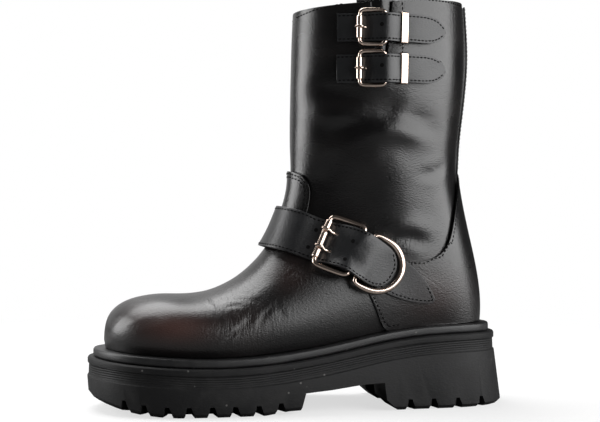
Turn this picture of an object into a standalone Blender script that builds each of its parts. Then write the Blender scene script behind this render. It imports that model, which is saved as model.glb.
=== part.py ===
"""Left biker boot: moulded sole, hollow leather upper, three buckled straps and a ring."""
import math

import bmesh
import bpy
import numpy as np
from mathutils import Vector
from mathutils.bvhtree import BVHTree

# All sizes are millimetres and become metres in new_object().
# x runs from the back of the heel to the toe, y to the outer side of the foot, z up from the floor.
METRE = 0.001
SEAT = 0.3
WALL = 2.2
OVERLAY = 1.2
OVERLAY_LIFT = 0.5
COUNTER_LIFT = 1.0
WELT_THICK = 5.6
WELT_LEDGE = 8.2
SOLE_LEDGE = 12.0
INSOLE_INSET = 4.2
INSOLE_THICK = 3.0
ORIGIN_X = 147.545
ORIGIN_Y = -0.193

LEATHER = ("leather", (0.013, 0.012, 0.012), 0.36, 0.0)
STRAP_LEATHER = ("strap_leather", (0.012, 0.011, 0.011), 0.34, 0.0)
RUBBER = ("rubber", (0.016, 0.016, 0.016), 0.66, 0.0)
LINING = ("lining", (0.035, 0.032, 0.030), 0.85, 0.0)
METAL = ("rose_metal", (0.62, 0.43, 0.33), 0.22, 1.0)

# Line where the upper meets the welt, once round the foot from the toe along the outer side.
FEATHER = (
    # x, y
    (281.5, -4.0),
    (276.5, 17.0),
    (262.0, 34.5),
    (240.0, 42.8),
    (212.0, 45.2),
    (182.0, 43.8),
    (150.0, 39.8),
    (112.0, 35.0),
    (72.0, 30.6),
    (48.0, 29.2),
    (31.5, 24.6),
    (22.4, 16.9),
    (18.8, 8.0),
    (18.0, 0.0),
    (18.8, -8.0),
    (22.4, -16.8),
    (31.5, -24.2),
    (48.0, -28.2),
    (74.0, -28.2),
    (108.0, -28.0),
    (142.0, -33.0),
    (172.0, -40.0),
    (202.0, -44.5),
    (228.0, -45.5),
    (250.0, -42.5),
    (267.0, -34.5),
    (278.0, -20.0),
)

# Height of the welt along the foot: heel, arch, ball and toe spring.
BED = (
    # x, z
    (0.0, 56.0),
    (40.0, 56.2),
    (66.0, 55.2),
    (92.0, 52.2),
    (134.0, 44.3),
    (175.0, 38.9),
    (212.0, 37.4),
    (238.0, 38.2),
    (260.0, 39.6),
    (300.0, 42.4),
)

# Underside of the sole before the arch is cut out, and how far its side leans out at the bottom.
GROUND = (
    # x, z, lean
    (0.0, 0.0, 5.2),
    (60.0, 0.0, 2.6),
    (90.0, 0.0, 2.0),
    (157.0, 3.4, 0.2),
    (176.0, 0.0, -1.2),
    (240.0, 0.0, -1.2),
    (254.0, 1.0, -1.0),
    (266.0, 2.8, -0.8),
    (280.0, 6.4, -0.8),
    (300.0, 12.4, -1.6),
)

# Steps of the sole's side from the lip down to the last band.
SOLE_SIDE = (
    # depth below the top, ledge beyond the feather line
    (0.0, SOLE_LEDGE - 0.9),
    (0.9, SOLE_LEDGE),
    (4.2, SOLE_LEDGE),
    (5.0, SOLE_LEDGE - 0.9),
    (12.2, SOLE_LEDGE - 0.6),
    (13.0, SOLE_LEDGE + 0.3),
)

WELT_SIDE = (
    # depth below the top, ledge beyond the feather line
    (0.0, WELT_LEDGE - 0.8),
    (0.8, WELT_LEDGE),
    (WELT_THICK - 0.8, WELT_LEDGE),
    (WELT_THICK, WELT_LEDGE - 0.8),
)

ARCH = (
    # x, z
    (80.1, -6.0),
    (95.0, 7.0),
    (96.5, 18.8),
    (111.0, 18.2),
    (134.0, 15.4),
    (152.0, 14.0),
    (157.5, -6.0),
)
BREAST = ((98.0, -14.0), (98.0, 14.0), (79.0, 8.0), (79.0, -8.0))
TOE_LUGS = (168.8, 184.3, 199.8, 215.2, 230.0, 244.6, 258.8, 271.6)
HEEL_LUGS = (78.5, 61.5, 44.0, 25.5)
SOLE_BEVEL = 2.4
LUG_DEPTH = 7.0
LUG_REACH = 19.0
HEEL_REACH = 13.0
LUG_MOUTH = 4.3
LUG_ROOT = 1.7
GROOVES = (
    # middle y, half width, x of each step from the heel
    (17.0, 2.2, (158.0, 176.0, 240.0, 254.0, 264.0)),
    (-18.0, 2.2, (158.0, 176.0, 240.0, 254.0, 264.0)),
    (0.0, 3.0, (20.0, 70.0)),
)
GROOVE_DEPTH = 5.5

# Sections of the upper, toe to collar. Ridge is the front line, base the feather line and then the back.
# Lateral and medial are the widest y; the foot sections give how far they stand out past the feather.
FOOT = (
    # ridge x, ridge z, ridge y, base x, lateral, medial, crown, front power, back power
    (282.4, 46.5, -4.0, 281.4, 0.5, 0.5, 0.45, 2.0, 2.0),
    (282.2, 52.5, -4.0, 280.4, 1.0, 1.0, 0.42, 2.05, 2.0),
    (280.6, 61.5, -4.0, 277.2, 1.6, 1.6, 0.40, 2.1, 2.0),
    (275.4, 68.9, -4.0, 271.0, 2.4, 2.4, 0.36, 2.2, 2.0),
    (264.5, 75.1, -4.0, 259.0, 3.2, 3.2, 0.34, 2.3, 2.0),
    (247.0, 77.9, -3.5, 240.0, 4.0, 4.0, 0.33, 2.35, 2.0),
    (226.0, 77.5, -3.0, 217.0, 4.5, 4.5, 0.33, 2.3, 2.0),
    (206.5, 80.6, -2.5, 194.0, 4.5, 5.0, 0.33, 2.2, 2.0),
    (190.5, 88.4, -2.0, 170.0, 5.0, 6.5, 0.33, 2.1, 2.0),
    (178.5, 99.7, -1.5, 143.0, 6.0, 8.5, 0.34, 2.05, 2.0),
    (168.8, 112.5, -1.0, 112.0, 7.0, 10.0, 0.36, 2.0, 2.0),
    (161.8, 127.0, -0.5, 80.0, 7.9, 9.0, 0.38, 2.0, 2.1),
    (157.6, 138.5, 0.0, 50.0, 7.5, 8.1, 0.36, 2.0, 2.45),
    (155.8, 145.0, 0.0, 29.0, 13.6, 13.3, 0.38, 2.0, 2.25),
    (155.1, 148.5, 0.0, 20.4, 23.6, 23.1, 0.41, 2.0, 2.5),
)
SHAFT = (
    # ridge x, ridge z, base x, base z, lateral, medial, crown, front power, back power
    (154.6, 151.0, 18.0, 56.4, 36.6, 36.1, 0.415, 2.0, 2.45),
    (154.2, 154.5, 17.0, 69.0, 36.6, 36.1, 0.41, 2.0, 2.15),
    (153.9, 159.0, 17.9, 84.0, 36.6, 36.1, 0.41, 2.0, 2.05),
    (153.7, 164.5, 21.9, 103.0, 36.8, 36.4, 0.42, 2.0, 2.05),
    (153.6, 171.5, 27.8, 128.0, 37.6, 37.4, 0.43, 2.05, 2.1),
    (153.6, 181.0, 33.0, 154.0, 39.2, 39.0, 0.44, 2.1, 2.15),
    (153.4, 200.0, 32.4, 182.0, 40.6, 40.4, 0.45, 2.1, 2.1),
    (153.0, 222.0, 28.7, 212.0, 42.0, 42.0, 0.46, 2.1, 2.1),
    (152.6, 246.0, 26.2, 242.0, 43.0, 43.0, 0.47, 2.1, 2.1),
    (151.2, 274.0, 28.2, 282.5, 43.6, 43.6, 0.48, 2.1, 2.1),
)
STEPS = (1, 1, 1, 1, 1, 2, 2, 1, 1, 2, 2, 2, 2, 2, 2, 2, 1, 1, 1, 2, 2, 1, 1, 1)
COLUMNS = 30

# Upper edge of the counter seen from the side, and the line of its front edge.
COUNTER_EDGE = (
    # x, z
    (33.0, 164.5),
    (36.5, 154.0),
    (39.5, 142.8),
    (43.6, 125.2),
    (46.8, 112.6),
    (51.3, 105.0),
    (60.8, 100.4),
    (72.7, 99.3),
    (115.0, 99.0),
)
COUNTER_FRONT = ((92.2, 51.7), (105.1, 77.4))
COUNTER_TOP = 161.5
COUNTER_START = 89.5
COUNTER_FOOT = 3.0

TAB = (
    # ridge z, half width
    (122.0, 26.0),
    (134.0, 26.0),
    (146.0, 25.5),
    (156.0, 25.0),
    (160.5, 22.5),
    (163.0, 17.0),
)
STAY_HALF = 7.5

SLIT = ((95.5, 226.0), (99.5, 226.0), (107.5, 300.0), (88.5, 300.0))
GUSSET = (
    # z, front x, back x, fold of the middle
    (222.0, 104.0, 91.0, 0.2),
    (238.0, 108.0, 87.5, 0.8),
    (254.0, 111.0, 84.5, 1.5),
    (266.0, 113.5, 82.0, 2.0),
    (275.5, 115.0, 80.5, 2.2),
)

# Middle of each strap seen from the side: height, slope and bend about one x.
ANKLE_LINE = {"x": 167.0, "z": 123.5, "slope": 0.28, "bend": 0.0018}
HIGH_LINE = {"x": 96.0, "z": 259.3, "slope": 0.015, "bend": 0.0003}
LOW_LINE = {"x": 96.0, "z": 231.7, "slope": 0.0, "bend": 0.0001}

ANKLE = {
    "centre_x": 126.2, "length": 12.6, "height": 18.8, "bar": 1.4, "wire": 1.9, "roller": 2.6,
    "strap_half": 15.2, "strap_thick": 2.4, "strap_lift": 0.6, "anchor_lift": 2.6, "anchor_thick": 1.8,
    "prong": 1.25, "prong_rows": (6.5, -6.5), "sides": 8,
}
COLLAR = {
    "centre_x": 104.2, "length": 9.0, "height": 11.6, "bar": 1.2, "wire": 1.6, "roller": 2.2,
    "strap_half": 9.5, "strap_thick": 2.0, "strap_lift": 0.4, "anchor_lift": 0.4, "anchor_thick": 1.5,
    "prong": 1.1, "prong_rows": (0.0,), "sides": 8,
}
EYE_WALL = 0.5

# Ends of the straps: distance from the buckle's middle and half width, as a share of the full half width.
ANKLE_TAIL = ((26.0, 1.0), (32.0, 0.94), (36.5, 0.78), (39.5, 0.54), (41.0, 0.26))
ANCHOR_TAIL = ((40.0, 0.88), (50.0, 0.82), (60.0, 0.64), (68.5, 0.4), (75.5, 0.12))
MEDIAL_TAIL = ((96.0, 1.0), (108.0, 0.92), (118.0, 0.72), (127.0, 0.44), (134.0, 0.14))
COLLAR_TAIL = ((36.0, 1.0), (42.0, 0.93), (47.0, 0.75), (50.5, 0.48), (52.5, 0.2))
COLLAR_BACK = 23.5
COLLAR_ANCHOR_END = 34.0
KEEPER = {"offset": 20.5, "half_width": 2.6, "thick": 0.8}
RING = {"offset": 17.8, "radius": 18.5, "chord": 9.2, "corner": 3.0, "half_width": 2.4, "half_thick": 1.9}


def spline(knots, values, at):
    """Smooth curve through the rows of a table."""
    knots = np.asarray(knots, float)
    values = np.asarray(values, float)
    step = np.diff(knots)
    rise = np.diff(values, axis=0) / (step[:, None] if values.ndim > 1 else step)
    slope = np.empty_like(values)
    slope[0] = rise[0]
    slope[-1] = rise[-1]
    before = step[:-1]
    after = step[1:]
    if values.ndim > 1:
        before = before[:, None]
        after = after[:, None]
    slope[1:-1] = (after * rise[:-1] + before * rise[1:]) / (before + after)
    at = np.asarray(at, float)
    cell = np.clip(np.searchsorted(knots, at, side="right") - 1, 0, len(step) - 1)
    wide = step[cell]
    t = (at - knots[cell]) / wide
    if values.ndim > 1:
        t = np.asarray(t)[..., None]
        wide = np.asarray(wide)[..., None]
    start = (2 * t ** 3 - 3 * t ** 2 + 1) * values[cell]
    start_slope = (t ** 3 - 2 * t ** 2 + t) * wide * slope[cell]
    end = (3 * t ** 2 - 2 * t ** 3) * values[cell + 1]
    end_slope = (t ** 3 - t ** 2) * wide * slope[cell + 1]
    return start + start_slope + end + end_slope


def column(table, index):
    return np.array([row[index] for row in table], float)


def unit(vector):
    return vector / np.linalg.norm(vector, axis=-1, keepdims=True)


def bed_height(x):
    return spline(column(BED, 0), column(BED, 1), x)


def feather_curve():
    """Closed feather line as many points, with its outward directions."""
    knots = np.array(FEATHER + FEATHER[:1])
    run = np.concatenate([[0.0], np.cumsum(np.linalg.norm(np.diff(knots, axis=0), axis=1))])
    total = run[-1]
    wrapped = np.concatenate([knots[-4:-1], knots, knots[1:4]])
    run = np.concatenate([run[-4:-1] - total, run, run[1:4] + total])
    at = np.linspace(0.0, total, 720, endpoint=False)
    points = spline(run, wrapped, at)
    tangent = unit(np.roll(points, -1, axis=0) - np.roll(points, 1, axis=0))
    outward = np.stack([tangent[:, 1], -tangent[:, 0]], axis=1)
    return points, outward


FEATHER_POINTS, FEATHER_OUT = feather_curve()


def plan_sides(ledge):
    """Outer and inner side of the foot's plan, each as (x, y) sorted toe to heel."""
    reach = ledge(FEATHER_POINTS[:, 0]) if callable(ledge) else ledge
    points = FEATHER_POINTS + FEATHER_OUT * np.reshape(reach, (-1, 1))
    toe = int(np.argmax(points[:, 0]))
    points = np.roll(points, -toe, axis=0)
    heel = int(np.argmin(points[:, 0]))
    lateral = points[:heel + 1]
    medial = np.concatenate([points[:1], points[:heel - 1:-1]])
    return lateral, medial


def plan_ring(ledge, stations):
    """Points round the plan at matching x on both sides, from the toe along the outer side."""
    lateral, medial = plan_sides(ledge)
    toe = lateral[0, 0]
    heel = lateral[-1, 0]
    x = (toe + heel) / 2 + (toe - heel) / 2 * np.cos(np.linspace(0, math.pi, stations + 1))
    outer = np.interp(-x, -lateral[:, 0], lateral[:, 1])
    inner = np.interp(-x, -medial[:, 0], medial[:, 1])
    inner[0] = outer[0]
    inner[-1] = outer[-1]
    return np.column_stack([x, outer]), np.column_stack([x, inner])


FEATHER_SIDES = plan_sides(0.0)


def feather_y(x):
    return [np.interp(-x, -side[:, 0], side[:, 1]) for side in FEATHER_SIDES]


def section_table():
    """Every section of the upper with the same columns, and its place along the boot."""
    rows = []
    for ridge_x, ridge_z, ridge_y, base_x, lateral, medial, crown, front, back in FOOT:
        outer, inner = feather_y(base_x)
        base_z = float(bed_height(base_x)) + SEAT
        rows.append((ridge_x, ridge_z, ridge_y, base_x, base_z, outer, inner,
                     outer + lateral, inner - medial, crown, front, back))
    for ridge_x, ridge_z, base_x, base_z, lateral, medial, crown, front, back in SHAFT:
        rows.append((ridge_x, ridge_z, 0.0, base_x, base_z, 0.0, 0.0,
                     lateral, -medial, crown, front, back))
    rows = np.array(rows)
    ridge = np.linalg.norm(np.diff(rows[:, 0:2], axis=0), axis=1)
    base = np.linalg.norm(np.diff(rows[:, 3:6], axis=0), axis=1)
    run = np.concatenate([[0.0], np.cumsum((ridge + base) / 2)])
    return run / run[-1], rows


SECTION_V, SECTION_ROWS = section_table()
HEEL_V = SECTION_V[len(FOOT)]
QUARTER = np.linspace(0.0, math.pi / 2, 48)


def half_section(row, side):
    """One side of a section from its base over the widest place to the ridge."""
    ridge_x, ridge_z, ridge_y, base_x, base_z = row[:5]
    reach = row[7 + side] - ridge_y
    crown, front, back = row[9:]
    foot = max((row[5 + side] - ridge_y) / reach, 0.0) ** back
    low = np.sin(QUARTER[::-1])
    high = np.sin(QUARTER[1:]) ** (2 / front)
    share = np.concatenate([crown * (1 - low), crown + (1 - crown) * high])
    below = (1 - (1 - foot) * low ** 2) ** (1 / back)
    above = np.cos(QUARTER[1:]) ** (2 / front)
    points = np.column_stack([
        base_x + share * (ridge_x - base_x),
        ridge_y + reach * np.concatenate([below, above]),
        base_z + share * (ridge_z - base_z),
    ])
    run = np.concatenate([[0.0], np.cumsum(np.linalg.norm(np.diff(points, axis=0), axis=1))])
    return points, run


def section_row(v):
    row = spline(SECTION_V, SECTION_ROWS, min(max(v, 0.0), 1.0))
    if v >= HEEL_V:
        row[5:7] = 0.0
    else:
        row[4] = bed_height(row[3]) + SEAT
        row[5:7] = feather_y(row[3])
    return row


def upper_points(u, v):
    """Points of the upper's outside on section v: u is 0 at the outer base, 0.5 at the ridge."""
    row = section_row(v)
    u = np.asarray(u, float)
    if v >= HEEL_V:
        u = np.mod(u, 1.0)
    u = np.clip(u, 0.0, 1.0)
    out = np.empty(u.shape + (3,))
    for side, mask, share in ((0, u <= 0.5, u * 2), (1, u > 0.5, 2 - u * 2)):
        points, run = half_section(row, side)
        at = np.clip(share[mask], 0.0, 1.0) * run[-1]
        for axis in range(3):
            out[mask, axis] = np.interp(at, run, points[:, axis])
    return out


def upper_skin(u, v, lift=0.0):
    """Points that stand off the upper's outside along its own normal."""
    u = np.asarray(u, float)
    side = 0.004
    up = 0.003
    if v >= HEEL_V:
        along = upper_points(u + side, v) - upper_points(u - side, v)
    else:
        along = upper_points(np.minimum(u + side, 1), v) - upper_points(np.maximum(u - side, 0), v)
    if v >= HEEL_V:
        across = upper_points(u, min(v + up, 1.0)) - upper_points(u, max(v - up, HEEL_V))
    else:
        across = upper_points(u, min(v + up, HEEL_V - 1e-6)) - upper_points(u, max(v - up, 0.0))
    normal = unit(np.cross(across, along))
    return upper_points(u, v) + normal * np.reshape(lift, (-1, 1)), normal


def new_object(name, bm, material):
    bmesh.ops.recalc_face_normals(bm, faces=bm.faces)
    for vert in bm.verts:
        vert.co = ((vert.co.x - ORIGIN_X) * METRE, (vert.co.y - ORIGIN_Y) * METRE, vert.co.z * METRE)
    mesh = bpy.data.meshes.new(name)
    bm.to_mesh(mesh)
    bm.free()
    mesh.shade_smooth()
    mesh.set_sharp_from_angle(angle=math.radians(38))
    obj = bpy.data.objects.new(name, mesh)
    bpy.context.scene.collection.objects.link(obj)
    if material:
        mesh.materials.append(make_material(*material))
    return obj


def make_material(name, colour, roughness, metallic):
    material = bpy.data.materials.get(name)
    if material:
        return material
    material = bpy.data.materials.new(name)
    material.use_nodes = True
    shader = material.node_tree.nodes["Principled BSDF"]
    shader.inputs["Base Color"].default_value = (*colour, 1.0)
    shader.inputs["Roughness"].default_value = roughness
    shader.inputs["Metallic"].default_value = metallic
    return material


def cut(obj, cutter):
    """Take a hidden cutter out of a piece."""
    cutter.hide_render = True
    cutter.display_type = "WIRE"
    modifier = obj.modifiers.new(cutter.name, "BOOLEAN")
    modifier.operation = "DIFFERENCE"
    modifier.solver = "EXACT"
    modifier.object = cutter


def add_grid(bm, points, inner=None, layer=None):
    """Faces over a grid of points; each vertex keeps the place of the wall's other side."""
    rows, columns = points.shape[:2]
    verts = []
    for i in range(rows):
        for j in range(columns):
            vert = bm.verts.new(points[i, j])
            if layer is not None:
                vert[layer] = Vector(inner[i, j])
            verts.append(vert)
    for i in range(rows - 1):
        for j in range(columns - 1):
            first = i * columns + j
            bm.faces.new((verts[first], verts[first + 1], verts[first + columns + 1], verts[first + columns]))


def wall(name, grids, material):
    """Closed leather wall between matching outer and inner grids."""
    bm = bmesh.new()
    layer = bm.verts.layers.float_vector.new("inner")
    for outer, inner in grids:
        add_grid(bm, outer, inner, layer)
    bmesh.ops.remove_doubles(bm, verts=bm.verts[:], dist=0.02)
    grown = bmesh.ops.extrude_face_region(bm, geom=bm.faces[:], use_keep_orig=True)
    for item in grown["geom"]:
        if isinstance(item, bmesh.types.BMVert):
            item.co = item[layer]
    bm.verts.layers.float_vector.remove(layer)
    return new_object(name, bm, material)


def plan_body(name, levels, stations, material):
    """Solid built of rings round the foot's plan; each level gives a ledge and a height for x."""
    bm = bmesh.new()
    rings = []
    for ledge, height in levels:
        outer, inner = plan_ring(ledge, stations)
        lateral = [bm.verts.new((x, y, z)) for (x, y), z in zip(outer, height(outer[:, 0]))]
        medial = [bm.verts.new((x, y, z)) for (x, y), z in zip(inner[1:-1], height(inner[1:-1, 0]))]
        rings.append((lateral, [lateral[0]] + medial + [lateral[-1]]))
    for (outer, inner), (outer_low, inner_low) in zip(rings[:-1], rings[1:]):
        for high, low in ((outer, outer_low), (inner, inner_low)):
            for i in range(stations):
                bm.faces.new((high[i], high[i + 1], low[i + 1], low[i]))
    for outer, inner in (rings[0], rings[-1]):
        bm.faces.new((outer[0], outer[1], inner[1]))
        bm.faces.new((outer[-1], outer[-2], inner[-2]))
        for i in range(1, stations - 1):
            bm.faces.new((outer[i], outer[i + 1], inner[i + 1], inner[i]))
    return new_object(name, bm, material)


def prism(bm, low, high):
    """Closed solid between two matching polygons of points."""
    first = [bm.verts.new(point) for point in low]
    last = [bm.verts.new(point) for point in high]
    bm.faces.new(first)
    bm.faces.new(last)
    for i in range(len(first)):
        j = (i + 1) % len(first)
        bm.faces.new((first[i], first[j], last[j], last[i]))


def sole_top(x):
    return bed_height(x) - WELT_THICK - SEAT


def sole_ground(x):
    return np.interp(x, column(GROUND, 0), column(GROUND, 1))


def sole_lean(x):
    return SOLE_LEDGE + 0.3 + np.interp(x, column(GROUND, 0), column(GROUND, 2))


def lug_cutter():
    """Tapered notches let into the edge of the sole from both sides."""
    bm = bmesh.new()
    edge = FEATHER_POINTS + FEATHER_OUT * sole_lean(FEATHER_POINTS[:, 0])[:, None]
    for station in TOE_LUGS + HEEL_LUGS:
        for sign in (1, -1):
            gap = np.abs(edge[:, 0] - station) + 1000.0 * (edge[:, 1] * sign < 0)
            index = int(np.argmin(gap))
            out = np.array([*FEATHER_OUT[index], 0.0])
            along = np.array([-out[1], out[0], 0.0])
            foot = np.array([*edge[index], float(sole_ground(edge[index, 0]))])
            mouth = LUG_MOUTH + 1.2
            shape = ((-mouth, -3.0), (mouth, -3.0), (LUG_ROOT, LUG_DEPTH), (-LUG_ROOT, LUG_DEPTH))
            low = [foot + out * 8.0 + along * a + np.array([0, 0, h]) for a, h in shape]
            reach = LUG_REACH if station in TOE_LUGS else HEEL_REACH
            high = [foot - out * reach + along * a * 0.45 + np.array([0, 0, h]) for a, h in shape]
            prism(bm, low, high)
    return new_object("cut_lugs", bm, None)


def groove_cutter():
    """Long grooves that part the edge lugs from the middle of the tread."""
    bm = bmesh.new()
    for middle, half, stations in GROOVES:
        rings = []
        for x in stations:
            top = float(sole_ground(x)) + GROOVE_DEPTH
            ring = ((-half, -8.0), (half, -8.0), (half * 0.7, top), (-half * 0.7, top))
            rings.append([bm.verts.new((x, middle + y, z)) for y, z in ring])
        bm.faces.new(rings[0])
        bm.faces.new(rings[-1])
        for first, last in zip(rings[:-1], rings[1:]):
            for i in range(4):
                j = (i + 1) % 4
                bm.faces.new((first[i], first[j], last[j], last[i]))
    return new_object("cut_grooves", bm, None)


def build_sole():
    levels = []
    for depth, ledge in SOLE_SIDE:
        levels.append((ledge, lambda x, depth=depth: sole_top(x) - depth))
    levels.append((sole_lean, lambda x: sole_ground(x) + SOLE_BEVEL))
    levels.append((lambda x: sole_lean(x) - SOLE_BEVEL, sole_ground))
    sole = plan_body("outsole", levels, 28, RUBBER)
    bm = bmesh.new()
    prism(bm, [(x, -90.0, z) for x, z in ARCH], [(x, 90.0, z) for x, z in ARCH])
    cut(sole, new_object("cut_arch", bm, None))
    bm = bmesh.new()
    prism(bm, [(x, y, -6.0) for x, y in BREAST], [(x, y, 16.5) for x, y in BREAST])
    cut(sole, new_object("cut_breast", bm, None))
    cut(sole, lug_cutter())
    cut(sole, groove_cutter())
    levels = []
    for depth, ledge in WELT_SIDE:
        levels.append((ledge, lambda x, depth=depth: bed_height(x) - depth))
    plan_body("welt", levels, 28, RUBBER)
    levels = []
    for rise in (SEAT + INSOLE_THICK, SEAT):
        levels.append((-INSOLE_INSET, lambda x, rise=rise: bed_height(x) + rise))
    plan_body("insole", levels, 24, LINING)


def upper_rows():
    rows = []
    for i, count in enumerate(STEPS):
        rows.extend(np.linspace(SECTION_V[i], SECTION_V[i + 1], count, endpoint=False))
    return rows + [1.0]


def build_upper():
    u = np.linspace(0.0, 1.0, COLUMNS + 1)
    outer = []
    inner = []
    for v in upper_rows():
        skin, normal = upper_skin(u, v)
        if v >= HEEL_V:
            skin[-1] = skin[0]
            normal[-1] = normal[0]
        lining = skin - normal * WALL
        if v < HEEL_V:
            lining[:, 2] = np.maximum(lining[:, 2], bed_height(lining[:, 0]) + SEAT)
        outer.append(skin)
        inner.append(lining)
    outer = np.array(outer)
    inner = np.array(inner)
    half = COLUMNS // 2
    toe = np.stack([outer[0, :half + 1], outer[0, :half - 1:-1]], axis=1)
    toe_inner = np.stack([inner[0, :half + 1], inner[0, :half - 1:-1]], axis=1)
    upper = wall("upper", [(outer, inner), (toe, toe_inner)], LEATHER)
    bm = bmesh.new()
    prism(bm, [(x, 12.0, z) for x, z in SLIT], [(x, 80.0, z) for x, z in SLIT])
    cut(upper, new_object("cut_slit", bm, None))


def row_lengths(v):
    row = section_row(v)
    return half_section(row, 0)[1][-1], half_section(row, 1)[1][-1]


def section_column(index):
    """One column of the section table in fine steps along the boot."""
    at = np.linspace(0.0, 1.0, 1201)
    return at, np.array([section_row(v)[index] for v in at])


def v_at_base_x(x):
    at, got = section_column(3)
    keep = at <= HEEL_V
    return float(np.interp(-x, -got[keep], at[keep]))


def v_at_base_z(z):
    at, got = section_column(4)
    keep = at >= HEEL_V
    return float(np.interp(z, got[keep], at[keep]))


def v_at_ridge_z(z):
    at, got = section_column(1)
    keep = at >= SECTION_V[7]
    return float(np.interp(z, got[keep], at[keep]))


def patch(name, grids, lift, thick, material):
    """Leather patch on the upper from grids of (v, list of u)."""
    pairs = []
    for rows in grids:
        outer = []
        inner = []
        for v, u in rows:
            skin, normal = upper_skin(u, v)
            inner.append(skin + normal * lift)
            outer.append(skin + normal * (lift + thick))
        pairs.append((np.array(outer), np.array(inner)))
    return wall(name, pairs, material)


def build_counter():
    edge_x = column(COUNTER_EDGE, 0)
    edge_z = column(COUNTER_EDGE, 1)
    (low_x, low_z), (high_x, high_z) = COUNTER_FRONT
    lean = (high_x - low_x) / (high_z - low_z)
    start = v_at_base_x(COUNTER_START)
    seam = v_at_base_z(float(bed_height(SHAFT[0][2])) + COUNTER_FOOT)
    top = v_at_base_z(COUNTER_TOP)
    share = np.linspace(0.0, 1.0, 9) ** 1.3
    probe = np.linspace(0.0, 0.48, 400)
    sides = ([], [])
    rows = [v for v in upper_rows() if start + 0.004 < v < top - 0.004 and abs(v - seam) > 0.004]
    rows += [seam - (seam - HEEL_V) * step ** 2 for step in (0.0, 0.22, 0.44, 0.66, 0.86)]
    for v in sorted(rows + [start, top]):
        for side in (0, 1):
            points = upper_points(probe if side == 0 else 1.0 - probe, v)
            over = points[:, 2] - np.interp(points[:, 0], edge_x, edge_z)
            ahead = points[:, 0] - low_x - (points[:, 2] - low_z) * lean
            last = max(int(np.argmin(np.maximum(over, ahead) < 0)), 8)
            first = 0
            if v < seam:
                first = int(np.argmax(points[:, 2] - bed_height(points[:, 0]) > COUNTER_FOOT))
            u = probe[first] + share * (probe[last] - probe[first])
            sides[side].append((v, u if side == 0 else 1.0 - u))
    patch("counter", sides, COUNTER_LIFT, OVERLAY, LEATHER)


def build_tab():
    ridge_z = column(TAB, 0)
    rows = []
    for z in np.concatenate([np.linspace(ridge_z[0], 156.0, 8), [158.5, 160.5, 162.0, 163.0]]):
        v = v_at_ridge_z(z)
        half = np.interp(z, ridge_z, column(TAB, 1))
        lateral, medial = row_lengths(v)
        low = 0.5 * (1 - half / lateral)
        high = 1 - 0.5 * (1 - half / medial)
        rows.append((v, np.linspace(low, high, 8)))
    patch("front_tab", [rows], OVERLAY_LIFT, OVERLAY, LEATHER)


def build_stay():
    rows = []
    for v in np.linspace(v_at_base_z(COUNTER_TOP + 1.0), 0.997, 10):
        lateral, medial = row_lengths(v)
        rows.append((v, np.linspace(-0.5 * STAY_HALF / medial, 0.5 * STAY_HALF / lateral, 5)))
    patch("back_stay", [rows], OVERLAY_LIFT, OVERLAY, LEATHER)


def dense_skin():
    """Fine copy of the upper's outside for draping straps."""
    u = np.linspace(0.0, 1.0, 161)
    v = np.linspace(0.0, 1.0, 261)
    points = np.array([upper_points(u, at) for at in v])
    normals = np.array([upper_skin(u, at)[1] for at in v])
    faces = []
    for i in range(len(v) - 1):
        for j in range(len(u) - 1):
            first = i * len(u) + j
            faces.append((first, first + 1, first + len(u) + 1, first + len(u)))
    tree = BVHTree.FromPolygons([Vector(point) for point in points.reshape(-1, 3)], faces)
    return u, points, normals, tree


SKIN_U, SKIN, SKIN_NORMAL, SKIN_TREE = dense_skin()


def drop(point, normal):
    """Nearest place of the upper's outside straight below a point."""
    start = Vector(point + normal * 25.0)
    hit = SKIN_TREE.ray_cast(start, Vector(-normal))[0]
    return np.array(hit) if hit else point


def drape_line(shape, first, last):
    """Middle line of a strap on the upper, with normals and lengths measured from the ridge."""
    points = []
    normals = []
    for j, u in enumerate(SKIN_U):
        if not first <= u <= last:
            continue
        track = SKIN[:, j]
        ahead = shape["x"] - track[:, 0]
        over = track[:, 2] - (shape["z"] - shape["slope"] * ahead - shape["bend"] * ahead ** 2)
        cell = int(np.argmax(over > 0))
        t = over[cell - 1] / (over[cell - 1] - over[cell])
        points.append(track[cell - 1] * (1 - t) + track[cell] * t)
        normals.append(SKIN_NORMAL[cell - 1, j] * (1 - t) + SKIN_NORMAL[cell, j] * t)
    points = np.array(points)
    run = np.concatenate([[0.0], np.cumsum(np.linalg.norm(np.diff(points, axis=0), axis=1))])
    ridge = np.interp(min(0.5, last), SKIN_U[(SKIN_U >= first) & (SKIN_U <= last)], run)
    return {"run": (ridge - run)[::-1], "points": points[::-1], "normals": np.array(normals)[::-1]}


def run_at_x(line, x):
    keep = line["run"] > 0
    return float(np.interp(-x, -line["points"][keep, 0], line["run"][keep]))


def frame_at(line, run):
    """Place, direction towards the strap's tail, direction across it and outward normal."""
    def place(at):
        return np.array([np.interp(at, line["run"], line["points"][:, axis]) for axis in range(3)])
    normal = unit(np.array([np.interp(run, line["run"], line["normals"][:, axis]) for axis in range(3)]))
    along = place(run + 1.5) - place(run - 1.5)
    along = unit(along - normal * np.dot(along, normal))
    return place(run), along, np.cross(normal, along), normal


def ribbon(name, line, stations, thick, across, material):
    """Strap that follows a draped line; stations hold run, half width, lift and how flat it lies across."""
    outer = []
    inner = []
    for run, half, lift, flat in stations:
        place, along, side, normal = frame_at(line, run)
        base = np.array([drop(place + side * half * c, normal) for c in np.linspace(-1, 1, across)])
        height = (base - place) @ normal
        base += np.outer((height.max() - height) * flat + lift, normal)
        inner.append(base)
        outer.append(base + normal * thick)
    return wall(name, [(np.array(outer), np.array(inner))], material)


def taper(tail, run, half):
    """Half width of a strap that ends in a rounded point."""
    return half * np.interp(run, [row[0] for row in tail], [row[1] for row in tail])


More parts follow.
